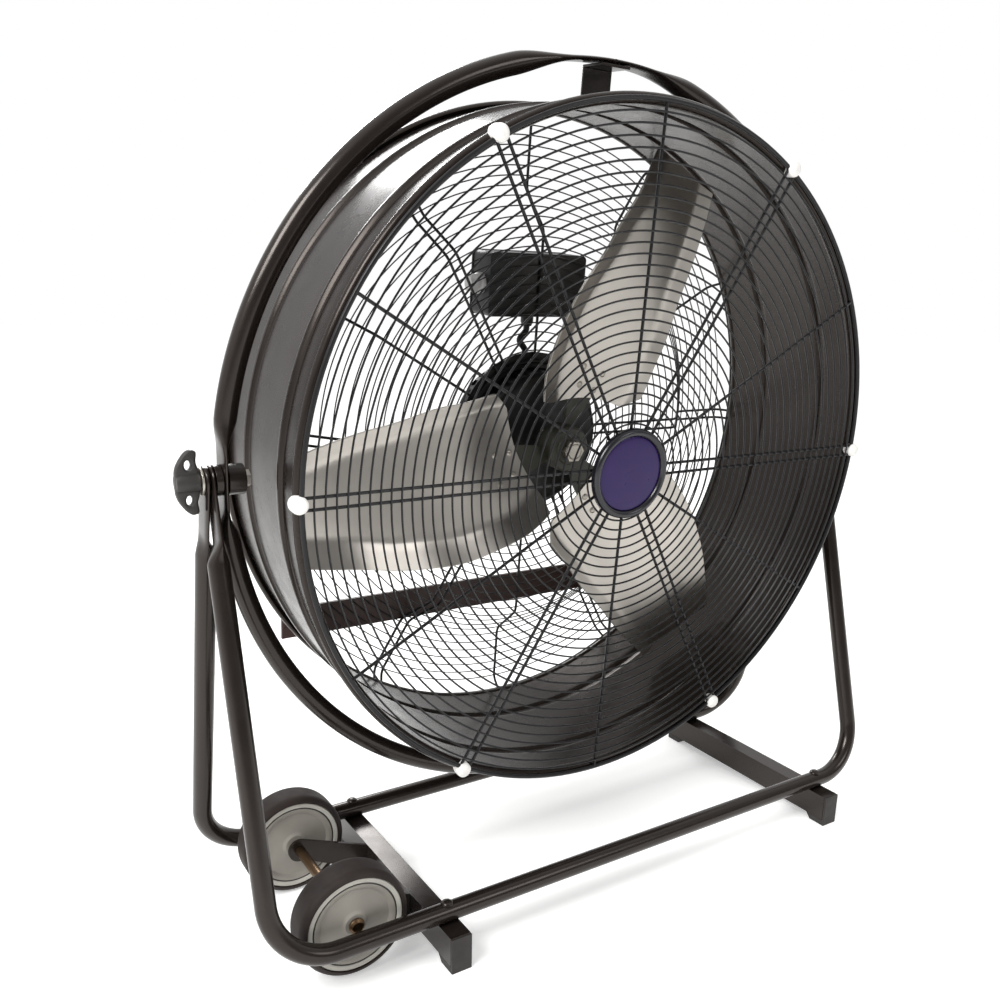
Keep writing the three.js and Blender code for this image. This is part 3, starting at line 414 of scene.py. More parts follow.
def make_finishes(c):
    """Every finish by its slot in the record, made once."""
    along_x, along_y = (0.05, 1, 1), (1, 0.05, 1)
    return {
        "drum_paint": paint_finish("drum_paint", c.drum, 0.25, specular=0.31, peel=0.00001, warmth=0.20),
        "stand_paint": paint_finish("tube_paint", c.tube, 0.22, specular=0.42, peel=0.00003, warmth=0.16),
        "guard_wire": paint_finish("guard_wire", c.wire, 0.34, specular=0.3, peel=0.00002),
        "blade_metal": sheet_finish("blade_metal", c.blade, 0.30),
        # Painted shade: the hub and its arms take the dark olive of their shaded undersides.
        "hub_steel": paint_finish("hub_painted_shade", c.hub, 0.48, specular=0.5),
        "motor_paint": paint_finish("motor_paint", c.motor, 0.46, specular=0.4, peel=0.0003),
        "box_plastic": moulded_finish("box_moulding", c.box, 0.50, grain=0.0002, specular=0.35),
        "knob_plastic": moulded_finish("knob_moulding", c.knob, 0.50),
        "dial_plastic": moulded_finish("dial_moulding", c.dial, 0.42),
        "clip_plastic": moulded_finish("clip_moulding", c.clip, 0.38, grain=0.00006),
        "badge_rim": moulded_finish("badge_rim_moulding", c.badge_rim, 0.22, grain=0.00003),
        "badge_disc": moulded_finish("badge_disc_moulding", c.badge_disc, 0.30, grain=0.00003, specular=0.3),
        "brace_paint": paint_finish("brace_paint", c.brace, 0.42, specular=0.4),
        "wheel_plastic": moulded_finish("wheel_moulding", c.disc, 0.52, grain=0.0003),
        "wheel_rim": moulded_finish("wheel_rim_moulding", c.rim, 0.45, grain=0.0001),
        "wheel_ring": moulded_finish("wheel_ring_moulding", c.knob, 0.55, grain=0.0001),
        "tyre_rubber": tyre_finish("tyre_rubber", c.tyre),
        "foot_plastic": moulded_finish("foot_moulding", c.foot, 0.62),
        "zinc": metal_finish("zinc_plate", c.zinc, 0.34, along_x),
        "axle_steel": metal_finish("axle_steel", c.axle, 0.36, along_y),
        "winding": winding_finish("winding_copper", c.copper),
        "cable": moulded_finish("cable_sheath", c.cable, 0.48, grain=0.0001, specular=0.4),
    }


FINISHES = {}


def finish_for(slot):
    if not FINISHES:
        FINISHES.update(make_finishes(bpy.context.scene.fan_colours))
    return FINISHES[slot]


# ---- mesh building ----------------------------------------------------------


def make_piece(name, mesh, place, body, slot, stands_for=(), finish=None, sharp=SHARP_EDGE):
    """Places a bmesh in the frame as a finished piece that rides on a body."""
    bmesh.ops.remove_doubles(mesh, verts=mesh.verts, dist=MERGE_DISTANCE)
    bmesh.ops.recalc_face_normals(mesh, faces=mesh.faces)
    for edge in mesh.edges:
        edge.smooth = edge.is_manifold and edge.calc_face_angle(0.0) < math.radians(sharp)
    for face in mesh.faces:
        face.smooth = True
    mesh.transform(place)
    data = bpy.data.meshes.new(name)
    mesh.to_mesh(data)
    mesh.free()
    data.materials.append(finish_for(finish or slot))
    piece = bpy.data.objects.new(name, data)
    bpy.context.scene.collection.objects.link(piece)
    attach(piece, body)
    if stands_for:
        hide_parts(*stands_for)
    return piece


def join_rings(mesh, rings, closed=False):
    """Skins rings of equal length, or of one point, with faces."""
    following = rings[1:] + ([rings[0]] if closed else [])
    for near, far in zip(rings, following):
        count = max(len(near), len(far))
        for i in range(count):
            j = (i + 1) % count
            corners = [near[i % len(near)], near[j % len(near)], far[j % len(far)], far[i % len(far)]]
            distinct = list(dict.fromkeys(corners))
            if len(distinct) > 2:
                mesh.faces.new(distinct)


def join_strips(mesh, rows):
    """Skins open rows of equal length with faces."""
    for near, far in zip(rows, rows[1:]):
        for k in range(len(near) - 1):
            mesh.faces.new((near[k], near[k + 1], far[k + 1], far[k]))


def add_turned(mesh, profile, segments=96, closed=False, place=None):
    """Turns (radius, y) points about the Y axis. Returns the new points."""
    place = place or Matrix.Identity(4)
    rings = []
    for radius, y in profile:
        count = 1 if radius < ON_AXIS else segments
        ring = []
        for i in range(count):
            turn = 2 * math.pi * i / count
            point = Vector((radius * math.cos(turn), y, radius * math.sin(turn)))
            ring.append(mesh.verts.new(place @ point))
        rings.append(ring)
    join_rings(mesh, rings, closed)
    return [point for ring in rings for point in ring]


def add_bar(mesh, path, radius, normal, sides=8, closed=False):
    """Sweeps a round bar along a path that lies in the plane with this normal."""
    normal = Vector(normal)
    last = len(path) - 1
    rings = []
    for i, point in enumerate(path):
        before = path[(i - 1) % len(path)] if closed else path[max(i - 1, 0)]
        after = path[(i + 1) % len(path)] if closed else path[min(i + 1, last)]
        across = (after - before).normalized().cross(normal)
        ring = []
        for k in range(sides):
            turn = 2 * math.pi * k / sides
            ring.append(mesh.verts.new(point + radius * (normal * math.cos(turn) + across * math.sin(turn))))
        rings.append(ring)
    join_rings(mesh, rings, closed)
    if not closed:
        mesh.faces.new(rings[0])
        mesh.faces.new(rings[-1])
    return [point for ring in rings for point in ring]


def add_slab(mesh, loops, depth, rounding, place):
    """A plate drawn in X and Y, as thick as depth along Z about its middle, with rounded edges."""
    curve = bpy.data.curves.new("slab", "CURVE")
    curve.dimensions = "2D"
    curve.fill_mode = "BOTH"
    curve.extrude = depth / 2 - rounding
    curve.bevel_depth = rounding
    curve.bevel_resolution = 2
    curve.offset = -rounding
    for loop in loops:
        spline = curve.splines.new("POLY")
        spline.points.add(len(loop) - 1)
        spline.use_cyclic_u = True
        for point, (x, y) in zip(spline.points, loop):
            point.co = (x, y, 0, 1)
    holder = bpy.data.objects.new("slab", curve)
    bpy.context.scene.collection.objects.link(holder)
    bpy.context.view_layer.update()
    data = holder.to_mesh()
    data.transform(place)
    mesh.from_mesh(data)
    holder.to_mesh_clear()
    bpy.data.objects.remove(holder)
    bpy.data.curves.remove(curve)


def facing(normal, up=(0, 0, 1), at=(0, 0, 0)):
    """A place whose Z runs along the normal and whose Y leans towards up."""
    z = Vector(normal).normalized()
    x = Vector(up).cross(z).normalized()
    rotation = Matrix((x, z.cross(x), z)).transposed()
    return Matrix.Translation(at) @ rotation.to_4x4()


def lathe_place(axis, at=(0, 0, 0)):
    """A place whose Y runs along the axis."""
    return Matrix.Translation(at) @ Vector((0, 1, 0)).rotation_difference(Vector(axis)).to_matrix().to_4x4()


def arc(centre, radius, start, end, steps):
    """Points on a circle from one angle in degrees to another."""
    turns = [math.radians(start + (end - start) * i / steps) for i in range(steps + 1)]
    return [(centre[0] + radius * math.cos(t), centre[1] + radius * math.sin(t)) for t in turns]


def rounded_rectangle(width, height, corner, steps=6):
    x, y = width / 2 - corner, height / 2 - corner
    corners = [((x, y), 0), ((-x, y), 90), ((-x, -y), 180), ((x, -y), 270)]
    return [point for centre, start in corners for point in arc(centre, corner, start, start + 90, steps)]


def smooth_loop(points, steps=8):
    """A closed smooth curve through the points."""
    count = len(points)
    loop = []
    for i in range(count):
        p0, p1, p2, p3 = (Vector(points[(i + k) % count]) for k in (-1, 0, 1, 2))
        for s in range(steps):
            t = s / steps
            blend = 2 * p1 + (p2 - p0) * t + (2 * p0 - 5 * p1 + 4 * p2 - p3) * t**2
            loop.append(tuple((blend + (3 * p1 - p0 - 3 * p2 + p3) * t**3) / 2))
    return loop


def ramp(value, start, end):
    t = min(max((value - start) / (end - start), 0), 1)
    return t * t * (3 - 2 * t)


def between(table, at):
    rows = list(zip(table, table[1:]))
    (x0, y0), (x1, y1) = next((row for row in rows if at <= row[1][0]), rows[-1])
    return y0 + (y1 - y0) * (at - x0) / (x1 - x0)


def eased(table, at, reach=0.016):
    """The table's value with its corners rounded off over the reach."""
    shifts = (-1, -0.5, 0, 0.5, 1)
    return sum(between(table, at + reach * shift) for shift in shifts) / len(shifts)


def dome(radius, height, steps=5):
    """A (radius, y) profile that bulges towards -Y."""
    turns = [math.pi / 2 * i / steps for i in range(steps + 1)]
    return [(radius * math.cos(t), -height * math.sin(t)) for t in turns]


# ---- drum and guards --------------------------------------------------------


class MakeDrum(bpy.types.Operator):
    """Builds the drum's sheet with its two ribs, rolled edges, drain hole and seam rivets."""

    bl_idname = "drumfan.make_drum"
    bl_label = "Drum"
    bl_options = {"REGISTER", "UNDO"}

    def execute(self, context):
        s = context.scene.drum_sizes
        mesh = bmesh.new()
        add_turned(mesh, self.profile(s), segments=192, closed=True)
        drum = make_piece("drum_sheet", mesh, DRUM_PLACE, "drum", "drum_paint", ["drum_shell"])
        self.cut_drain(drum, s)
        self.rivet_seam(s)
        return {"FINISHED"}

    def rivet_seam(self, s):
        """Three rivets along the sheet's seam, a little to one side of the lowest point."""
        seam_turn = Matrix.Rotation(math.radians(14), 4, "Y")
        middle, sunk = 0.006, 0.0004
        seam = bmesh.new()
        for y in (s.front_rib / 2 - s.front / 2, middle, s.rear_rib / 2 + s.rear / 2):
            place = lathe_place((0, 0, 1), (0, y, -s.radius + sunk))
            add_turned(seam, dome(radius=0.004, height=0.0016), segments=20, place=seam_turn @ place)
        make_piece("drum_seam_rivets", seam, DRUM_PLACE, "drum", "drum_paint")

    def profile(self, s):
        steps = 90
        crest, foot = s.rib_width * 0.16, s.rib_width * 0.5
        outer = []
        for i in range(1, steps):
            y = -s.front + (s.front + s.rear) * i / steps
            rise = sum(1 - ramp(abs(y - rib), crest, foot) for rib in (s.front_rib, s.rear_rib))
            outer.append((s.radius + s.rib_height * rise, y))
        inside = [(r - s.sheet, y) for r, y in reversed(outer)]
        return outer + self.bead(s, s.rear, 1) + inside + list(reversed(self.bead(s, -s.front, -1)))

    def bead(self, s, centre, outward):
        opening = math.asin(s.sheet / s.bead_radius)
        steps = 20
        turns = [opening + (2 * math.pi - 2 * opening) * i / steps for i in range(steps + 1)]
        return [(s.bead_circle + s.bead_radius * math.sin(t),
                 centre - outward * s.bead_radius * math.cos(t)) for t in turns]

    def cut_drain(self, drum, s):
        mesh = bmesh.new()
        reach = 0.03
        profile = [(0, -reach), (s.drain_radius, -reach), (s.drain_radius, reach), (0, reach)]
        add_turned(mesh, profile, segments=32)
        place = DRUM_PLACE @ lathe_place((0, 0, 1), (0, s.drain_place, -s.radius))
        mesh.transform(place)
        data = bpy.data.meshes.new("drain_cutter")
        mesh.to_mesh(data)
        mesh.free()
        cutter = bpy.data.objects.new("drain_cutter", data)
        bpy.context.scene.collection.objects.link(cutter)
        cut = drum.modifiers.new("drain", "BOOLEAN")
        cut.operation = "DIFFERENCE"
        cut.solver = "EXACT"
        cut.object = cutter
        bpy.context.view_layer.update()
        shown = drum.evaluated_get(bpy.context.evaluated_depsgraph_get())
        drum.data = bpy.data.meshes.new_from_object(shown)
        drum.modifiers.clear()
        bpy.data.objects.remove(cutter)


def radial_path(profile, turn, offset):
    """Points of a spoke: (radius, y) pairs, moved sideways by the offset and turned about the fan axis."""
    side = Vector((-math.sin(turn), 0, math.cos(turn)))
    out = Vector((math.cos(turn), 0, math.sin(turn)))
    return [out * r + Vector((0, y, 0)) + side * offset for r, y in profile], side


def add_ring(mesh, radius, y, wire, segments=144, sides=8):
    path = [Vector((radius * math.cos(t), y, radius * math.sin(t)))
            for t in (2 * math.pi * i / segments for i in range(segments))]
    add_bar(mesh, path, wire, (0, 1, 0), sides, closed=True)


def add_spokes(mesh, profile, s):
    step = 2 * math.pi / s.spoke_pairs
    for i in range(s.spoke_pairs):
        for turn, offset in ((0, -s.pair_half), (0, s.pair_half), (step / 2, 0)):
            path, side = radial_path(profile, i * step + turn, offset)
            add_bar(mesh, path, s.spoke_wire, side)


class MakeGuards(bpy.types.Operator):
    """Builds the front and rear guards from rings of wire on bent spokes."""

    bl_idname = "drumfan.make_guards"
    bl_label = "Guards"
    bl_options = {"REGISTER", "UNDO"}

    def execute(self, context):
        scene = context.scene
        s = scene.guard_sizes
        circle = scene.drum_sizes.bead_circle
        self.front(s, circle)
        self.rear(s, circle)
        return {"FINISHED"}

    def ring_radii(self, s, outer, inner):
        count = int((outer - inner) / s.ring_pitch)
        return [outer - s.ring_pitch * i for i in range(1, count + 1)]

    def front(self, s, circle):
        mesh = bmesh.new()
        reach = circle - s.rim_wire / 2
        add_spokes(mesh, [(s.plate_radius / 2, s.front_y), (reach, s.front_y)], s)
        add_ring(mesh, circle, s.front_y, s.rim_wire, segments=192, sides=12)
        ring_y = s.front_y - s.spoke_wire - s.ring_wire + s.weld
        for radius in self.ring_radii(s, circle, s.badge_radius - s.badge_lip):
            add_ring(mesh, radius, ring_y, s.ring_wire)
        face = ring_y - s.ring_wire
        plate = [(0, face), (s.plate_radius, face), (s.plate_radius, s.front_y), (0, s.front_y)]
        add_turned(mesh, plate, segments=64)
        make_piece("front_guard_wires", mesh, DRUM_PLACE, "drum", "guard_wire", ["front_guard"])

    def rear(self, s, circle):
        mesh = bmesh.new()
        outer_y = s.rear_y + s.bulge
        inner_y = outer_y - s.dish
        bend = circle - s.bulge
        corners = [(s.bore, inner_y), (s.step_inner, inner_y), (s.step_outer, outer_y), (bend, outer_y),
                   (circle - s.rim_wire / 2, s.rear_y)]
        add_spokes(mesh, self.rounded_path(corners), s)
        add_ring(mesh, circle, s.rear_y, s.rim_wire, segments=192, sides=12)
        add_ring(mesh, s.bore, inner_y, s.rim_wire, segments=96)
        lift = s.spoke_wire + s.rear_wire - s.weld
        for radius in self.ring_radii(s, bend + s.ring_pitch * 0.6, s.bore):
            y = inner_y + s.dish * min(max((radius - s.step_inner) / (s.step_outer - s.step_inner), 0), 1)
            add_ring(mesh, radius, y - lift, s.rear_wire)
        make_piece("rear_guard_wires", mesh, DRUM_PLACE, "drum", "guard_wire", ["rear_guard"])

    def rounded_path(self, corners, cut=0.008):
        """The corners joined by straight lines, with each bend rounded."""
        path = [corners[0]]
        for before, here, after in zip(corners, corners[1:], corners[2:]):
            a, b, c = Vector(before), Vector(here), Vector(after)
            start = b + (a - b).normalized() * min(cut, (a - b).length / 2)
            end = b + (c - b).normalized() * min(cut, (c - b).length / 2)
            for i in range(5):
                t = i / 4
                path.append(tuple(start * (1 - t) ** 2 + b * 2 * t * (1 - t) + end * t * t))
        return path + [corners[-1]]


class MakeClips(bpy.types.Operator):
    """Builds the round white clips that hold the front guard to the drum."""

    bl_idname = "drumfan.make_clips"
    bl_label = "Guard clips"
    bl_options = {"REGISTER", "UNDO"}

    def execute(self, context):
        scene = context.scene
        s = scene.guard_sizes
        drum = scene.drum_sizes
        cap = 0.0037
        front = s.front_y - s.rim_wire - cap
        r = s.clip_radius
        # Shares of the clip's radius, and distances behind its front.
        crown = [(0, 0), (0.55, 0.0003), (0.8, 0.0009), (0.95, 0.0024), (1, 0.0045)]
        dimple = [(0, -0.0002), (0.2, -0.0002), (0.26, 0.0006), (0, 0.0006)]
        profile = [(r * share, front + y) for share, y in crown]
        seat, chamfer = -drum.front, 0.003
        profile += [(r, seat - chamfer), (r * 0.9, seat), (0, seat)]
        recess = [(r * share, front + y) for share, y in dimple]
        for i in range(s.spoke_pairs):
            mesh = bmesh.new()
            turn = 2 * math.pi * i / s.spoke_pairs
            centre = drum.bead_circle + s.rim_wire
            place = Matrix.Translation((centre * math.cos(turn), 0, centre * math.sin(turn)))
            add_turned(mesh, profile, segments=40, place=place)
            add_turned(mesh, recess, segments=24, place=place)
            name = f"guard_clip_{i + 1}"
            make_piece(f"{name}_button", mesh, DRUM_PLACE, "drum", "clip_plastic", [name])
        return {"FINISHED"}


class MakeBadge(bpy.types.Operator):
    """Builds the badge: a domed black rim round a bare violet disc."""

    bl_idname = "drumfan.make_badge"
    bl_label = "Badge"
    bl_options = {"REGISTER", "UNDO"}

    def execute(self, context):
        s = context.scene.guard_sizes
        back = s.front_y - s.spoke_wire - 2 * s.ring_wire + s.weld - CLEARANCE
        inner = s.badge_radius - s.badge_lip
        mesh = bmesh.new()
        middle = (s.badge_radius + inner) / 2
        straight, round_part = s.badge_height * 0.35, s.badge_height * 0.65
        turns = [math.pi * i / 14 for i in range(15)]
        half = s.badge_lip / 2
        crown = [(middle + half * math.cos(t), back - straight - round_part * math.sin(t)) for t in turns]
        add_turned(mesh, [(s.badge_radius, back), *crown, (inner, back)], segments=128, closed=True)
        make_piece("badge_rim_ring", mesh, DRUM_PLACE, "drum", "badge_rim", ["badge_rim"])
        disc = bmesh.new()
        edge = inner - CLEARANCE
        face = back - s.badge_height / 2
        crowned = [(r, face + y) for r, y in dome(edge, 0.0022, 16)]
        add_turned(disc, [(edge, back), *crowned[:-1], (0, crowned[-1][1])], segments=96)
        make_piece("badge_disc_face", disc, DRUM_PLACE, "drum", "badge_disc", ["badge_disc"])
        return {"FINISHED"}


# ---- motor and fan ----------------------------------------------------------


class MakeMotor(bpy.types.Operator):
    """Builds the finned motor shell and its vented rear cover."""

    bl_idname = "drumfan.make_motor"
    bl_label = "Motor"
    bl_options = {"REGISTER", "UNDO"}

    def execute(self, context):
        s = context.scene.fan_sizes
        rear = s.motor_front + s.motor_length
        self.shell(s, rear)
        self.cover(s, rear)
        return {"FINISHED"}

    def shell(self, s, rear):
        r, front = s.motor_radius, s.motor_front
        flange_back = s.flange_y + s.flange_thickness
        bore, wall, round_off = 0.012, 0.004, 0.010
        corner = arc((r - round_off, front + round_off), round_off, -90, 0, 8)
        shoulder = rear - 0.0045
        profile = [(bore, front), *corner, (r, s.flange_y - wall), (r, s.flange_y),
                   (s.flange_radius, s.flange_y), (s.flange_radius, flange_back), (r, flange_back),
                   (r, flange_back + wall), (r, shoulder), (r - wall, shoulder), (r - wall, front + wall),
                   (bore, front + wall)]
        columns, fin_pitch, grooved = 216, 6, (2, 3, 4)
        fins_start, fins_end = front + 0.009, s.flange_y - 0.002
        mesh = bmesh.new()
        for point in add_turned(mesh, profile, columns, closed=True):
            column = round(math.degrees(math.atan2(point.co.z, point.co.x)) / 360 * columns) % fin_pitch
            radius = math.hypot(point.co.x, point.co.z)
            on_shell = r - 0.0001 < radius < r + 0.001
            on_fins = fins_start < point.co.y < fins_end or point.co.y > flange_back + 0.001
            if column in grooved and on_shell and on_fins:
                scale = (radius - s.fin_depth) / radius
                point.co = (point.co.x * scale, point.co.y, point.co.z * scale)
        make_piece("motor_finned_shell", mesh, DRUM_PLACE, "drum", "motor_paint", ["motor_shell"], sharp=25)

    def cover(self, s, rear):
        r = s.motor_radius
        seat = rear - 0.004
        hollow = rear - 0.0022
        profile = [(0, rear - 0.0002), (0.024, rear - 0.0002), (0.027, hollow), (r - 0.022, hollow),
                   (r - 0.019, rear), (r - 0.005, rear), (r - 0.001, rear - 0.002), (r, seat), (0, seat)]
        mesh = bmesh.new()
        add_turned(mesh, profile, segments=120)
        bars = 20
        bar_circle, bar_depth = 0.045, 0.0017
        bar = rounded_rectangle(0.026, 0.004, 0.0019)
        for i in range(bars):
            turn = 2 * math.pi * i / bars
            place = Matrix.Rotation(-turn, 4, "Y") @ facing((0, 1, 0), at=(bar_circle, rear - bar_depth, 0))
            add_slab(mesh, [bar], depth=0.0016, rounding=0.0004, place=place)
        screws = 4
        screw_circle, screw_depth = r - 0.0115, 0.002
        head = dome(radius=0.0042, height=0.0019)
        for i in range(screws):
            turn = 2 * math.pi * (i + 0.5) / screws
            at = (screw_circle * math.cos(turn), rear - screw_depth, screw_circle * math.sin(turn))
            add_turned(mesh, head, segments=20, place=lathe_place((0, -1, 0), at))
        make_piece("motor_vented_cover", mesh, DRUM_PLACE, "drum", "motor_paint", ["motor_cover"])


class MakeFan(bpy.types.Operator):
    """Builds the hub with its riveted arms and the three folded sheet blades."""

    bl_idname = "drumfan.make_fan"
    bl_label = "Fan"
    bl_options = {"REGISTER", "UNDO"}
    # Radius and share of the chord of each rivet on a blade.
    RIVETS = ((0.079, 0.44), (0.079, 0.60), (0.101, 0.43), (0.101, 0.62))

    def execute(self, context):
        s = context.scene.fan_sizes
        for i in range(BLADE_COUNT):
            turn = Matrix.Rotation(-i * 2 * math.pi / BLADE_COUNT, 4, "Y")
            name = f"fan_blade_{i + 1}"
            self.blade(s, turn, name)
            self.rivets(s, turn, name)
        self.hub(s)
        return {"FINISHED"}

    def point(self, s, radius, share):
        """The blade's middle surface: share 0 at the leading edge and 1 at the trailing edge."""
        start = math.radians(eased(LEADING_TURN, radius))
        end = math.radians(eased(TRAILING_TURN, radius))
        chord = radius * (end - start)
        fold = min(share * chord / s.leading_strip, (1 - share) * chord / s.trailing_strip, 1)
        straight = eased(LEADING_Y, radius) * (1 - share) + eased(TRAILING_Y, radius) * share
        turn = start + (end - start) * share
        return Vector((radius * math.cos(turn), straight + s.blade_dish * fold, radius * math.sin(turn)))

    def normal(self, s, radius, share):
        """The blade's normal towards its back, at a radius and share."""
        step, share_step = 0.001, 0.02
        along = self.point(s, radius + step, share) - self.point(s, radius - step, share)
        across = self.point(s, radius, share + share_step) - self.point(s, radius, share - share_step)
        normal = along.cross(across).normalized()
        return normal if normal.y > 0 else -normal

    def root(self, s, share):
        """The radius at which the blade's straight root line crosses the line of this share."""
        radius = 0.0885
        rounds = 24
        for _ in range(rounds):
            at = self.point(s, radius, share)
            turn = math.atan2(at.z, at.x) - s.root_turn
            radius = (radius + s.root_line / math.cos(turn)) / 2
        return radius

    def shares(self, s, radius):
        """Stations across the chord, with lines that stay on the two folds."""
        chord = radius * math.radians(eased(TRAILING_TURN, radius) - eased(LEADING_TURN, radius))
        lead, trail = min(s.leading_strip / chord, 0.3), min(s.trailing_strip / chord, 0.35)
        fold = 0.0022 / chord
        spans = 16
        front = [0, lead * 0.33, lead * 0.67, lead - fold, lead + fold]
        back = [1 - trail - fold, 1 - trail + fold, 1 - trail * 0.67, 1 - trail * 0.33, 1]
        middle = [front[-1] + (back[0] - front[-1]) * i / spans for i in range(1, spans)]
        return front + middle + back

    def blade(self, s, turn, name):
        steps = 44
        mesh = bmesh.new()
        tip_shares = self.shares(s, s.blade_tip)
        rows = []
        for i in range(steps + 1):
            row = []
            for k, tip_share in enumerate(tip_shares):
                start = self.root(s, tip_share)
                radius = start + (s.blade_tip - start) * i / steps
                share = self.shares(s, radius)[k]
                row.append(mesh.verts.new(self.point(s, radius, share)))
            rows.append(row)
        join_strips(mesh, rows)
        mesh.transform(turn)
        blade = make_piece(f"{name}_sheet", mesh, DRUM_PLACE, "fan", "blade_metal", [name])
        solid = blade.modifiers.new("thickness", "SOLIDIFY")
        solid.thickness = s.blade_thickness
        solid.offset = 0
        soft = blade.modifiers.new("edges", "BEVEL")
        soft.width = 0.0005
        soft.segments = 2
        soft.angle_limit = math.radians(60)

    def rivets(self, s, turn, name):
        mesh = bmesh.new()
        for radius, share in self.RIVETS:
            normal = self.normal(s, radius, share)
            at = self.point(s, radius, share) - normal * s.blade_thickness / 2
            add_turned(mesh, dome(s.rivet_radius, 0.0020), segments=20, place=lathe_place(normal, at))
        mesh.transform(turn)
        make_piece(f"{name}_rivets", mesh, DRUM_PLACE, "fan", "zinc")

    def arm(self, s, mesh, turn):
        """A tapered arm that lies against the blade's back."""
        behind = s.blade_thickness / 2 + CLEARANCE + s.arm_thickness / 2
        rows, columns = 10, 9
        sunk, centre_share, half_share = 0.006, 0.53, 0.13
        taper_start, taper = 0.75, 0.35
        faces = []
        for side in (-0.5, 0.5):
            lift = behind + s.arm_thickness * side
            grid = []
            for i in range(rows + 1):
                part = i / rows
                radius = s.hub_radius - sunk + (s.arm_reach - s.hub_radius + sunk) * part
                half = half_share * (1 - taper * max(0, part - taper_start) / (1 - taper_start))
                row = []
                for k in range(columns + 1):
                    share = centre_share + half * (2 * k / columns - 1)
                    at = self.point(s, max(radius, 0.0605), share)
                    at = Vector((at.x, 0, at.z)).normalized() * radius + Vector((0, at.y, 0))
                    at += self.normal(s, max(radius, 0.062), share) * lift
                    row.append(mesh.verts.new(turn @ at))
                grid.append(row)
            faces.append(grid)
            join_strips(mesh, grid)
        join_rings(mesh, [self.border(grid) for grid in faces])

    def border(self, grid):
        """The grid's outer points, once round."""
        right = [row[-1] for row in grid[1:]]
        left = [row[0] for row in grid[-2:0:-1]]
        return grid[0] + right + grid[-1][-2::-1] + left

    def hub(self, s):
        mesh = bmesh.new()
        front, back = s.hub_front, s.hub_front + s.hub_length
        r, soft, step = s.hub_radius, 0.0025, 0.002
        profile = [(0, front), (r * 0.62, front), (r * 0.68, front + step), (r - soft, front + step),
                   (r, front + step + soft), (r, back - soft), (r - soft, back), (0, back)]
        add_turned(mesh, profile, segments=64)
        for i in range(BLADE_COUNT):
            self.arm(s, mesh, Matrix.Rotation(-i * 2 * math.pi / BLADE_COUNT, 4, "Y"))
        make_piece("fan_hub_spider", mesh, DRUM_PLACE, "fan", "hub_steel", ["fan_hub"])
        nut = bmesh.new()
        six = arc((0, 0), s.nut_radius, 0, 360, 6)[:-1]
        bore = arc((0, 0), 0.0092, 360, 0, 40)[:-1]
        place = facing((0, -1, 0), at=(0, front - s.nut_height / 2, 0))
        add_slab(nut, [six, bore], s.nut_height, rounding=0.0008, place=place)
        make_piece("fan_hub_nut", nut, DRUM_PLACE, "fan", "zinc")


class MakeSwitchBox(bpy.types.Operator):
    """Builds the switch box with its cover, screws, speed dial and the motor's lead between the glands."""

    bl_idname = "drumfan.make_switch_box"
    bl_label = "Switch box"
    bl_options = {"REGISTER", "UNDO"}

    def execute(self, context):
        scene = context.scene
        s = scene.box_sizes
        back = s.front + s.depth
        mesh = bmesh.new()
        face = rounded_rectangle(s.width, s.height, s.corner)
        place = facing((0, 1, 0), at=(0, (s.front + back) / 2, s.centre))
        add_slab(mesh, [face], s.depth, rounding=0.0018, place=place)
        make_piece("switch_box_body", mesh, DRUM_PLACE, "drum", "box_plastic", ["switch_box"])
        self.cover(s, back)
        self.dial(s, back)
        self.lead(s, scene.fan_sizes)
        return {"FINISHED"}

    def cover(self, s, back):
        mesh = bmesh.new()
        lip = 0.001
        face = rounded_rectangle(s.width + 2 * lip, s.height + 2 * lip, s.corner + lip)
        near = back + CLEARANCE
        place = facing((0, 1, 0), at=(0, near + s.cover / 2, s.centre))
        add_slab(mesh, [face], s.cover, rounding=0.0008, place=place)
        make_piece("switch_box_lid", mesh, DRUM_PLACE, "drum", "box_plastic", ["switch_box_cover"])
        inset, sunk = 0.010, 0.0004
        head = dome(radius=0.0035, height=0.0018)
        screws = bmesh.new()
        for x in (-1, 1):
            for z in (-1, 1):
                height = s.centre + z * (s.height / 2 - inset)
                at = (x * (s.width / 2 - inset), near + s.cover - sunk, height)
                add_turned(screws, head, segments=20, place=lathe_place((0, -1, 0), at))
        make_piece("switch_box_screws", screws, DRUM_PLACE, "drum", "zinc")

    def dial(self, s, back):
        r, h = s.dial_radius, s.dial_height
        # Shares of the dial's radius and height.
        shares = [(0, 0), (1, 0), (1, 0.28), (0.96, 0.34), (0.78, 0.42), (0.76, 0.5), (0.74, 0.94), (0.68, 1),
                  (0, 1)]
        profile = [(r * across, -h * along) for across, along in shares]
        mesh = bmesh.new()
        place = lathe_place((1, 0, 0), (-s.width / 2 - CLEARANCE, (s.front + back) / 2, s.centre))
        add_turned(mesh, profile, segments=48, place=place)
        grip = rounded_rectangle(h * 0.5, r * 1.30, 0.0010, 3)
        middle = place @ Vector((0, -h * 0.72, 0))
        add_slab(mesh, [grip], r * 1.62, rounding=0.0008, place=facing((0, 0, 1), (0, 1, 0), middle))
        make_piece("speed_dial_knob", mesh, DRUM_PLACE, "dial", "dial_plastic", ["speed_dial"])

    def lead(self, s, fan):
        top = s.centre - s.height / 2 - 3 * CLEARANCE
        gland_gap, past_gland = 0.002, 0.003
        foot = fan.motor_radius + gland_gap
        straight = s.gland_height + past_gland
        free = top - foot - 2 * straight
        y = s.front + s.depth / 2
        path = [Vector((0, y, top))]
        steps = 32
        for i in range(steps + 1):
            bow = s.lead_bow * math.sin(math.pi * i / steps) ** 2
            path.append(Vector((-bow, y, top - straight - free * i / steps)))
        path.append(Vector((0, y, foot)))
        mesh = bmesh.new()
        add_bar(mesh, path, s.lead_radius, (0, 1, 0), sides=16)
        make_piece("motor_lead_sheath", mesh, DRUM_PLACE, "drum", "cable", ["motor_lead"])


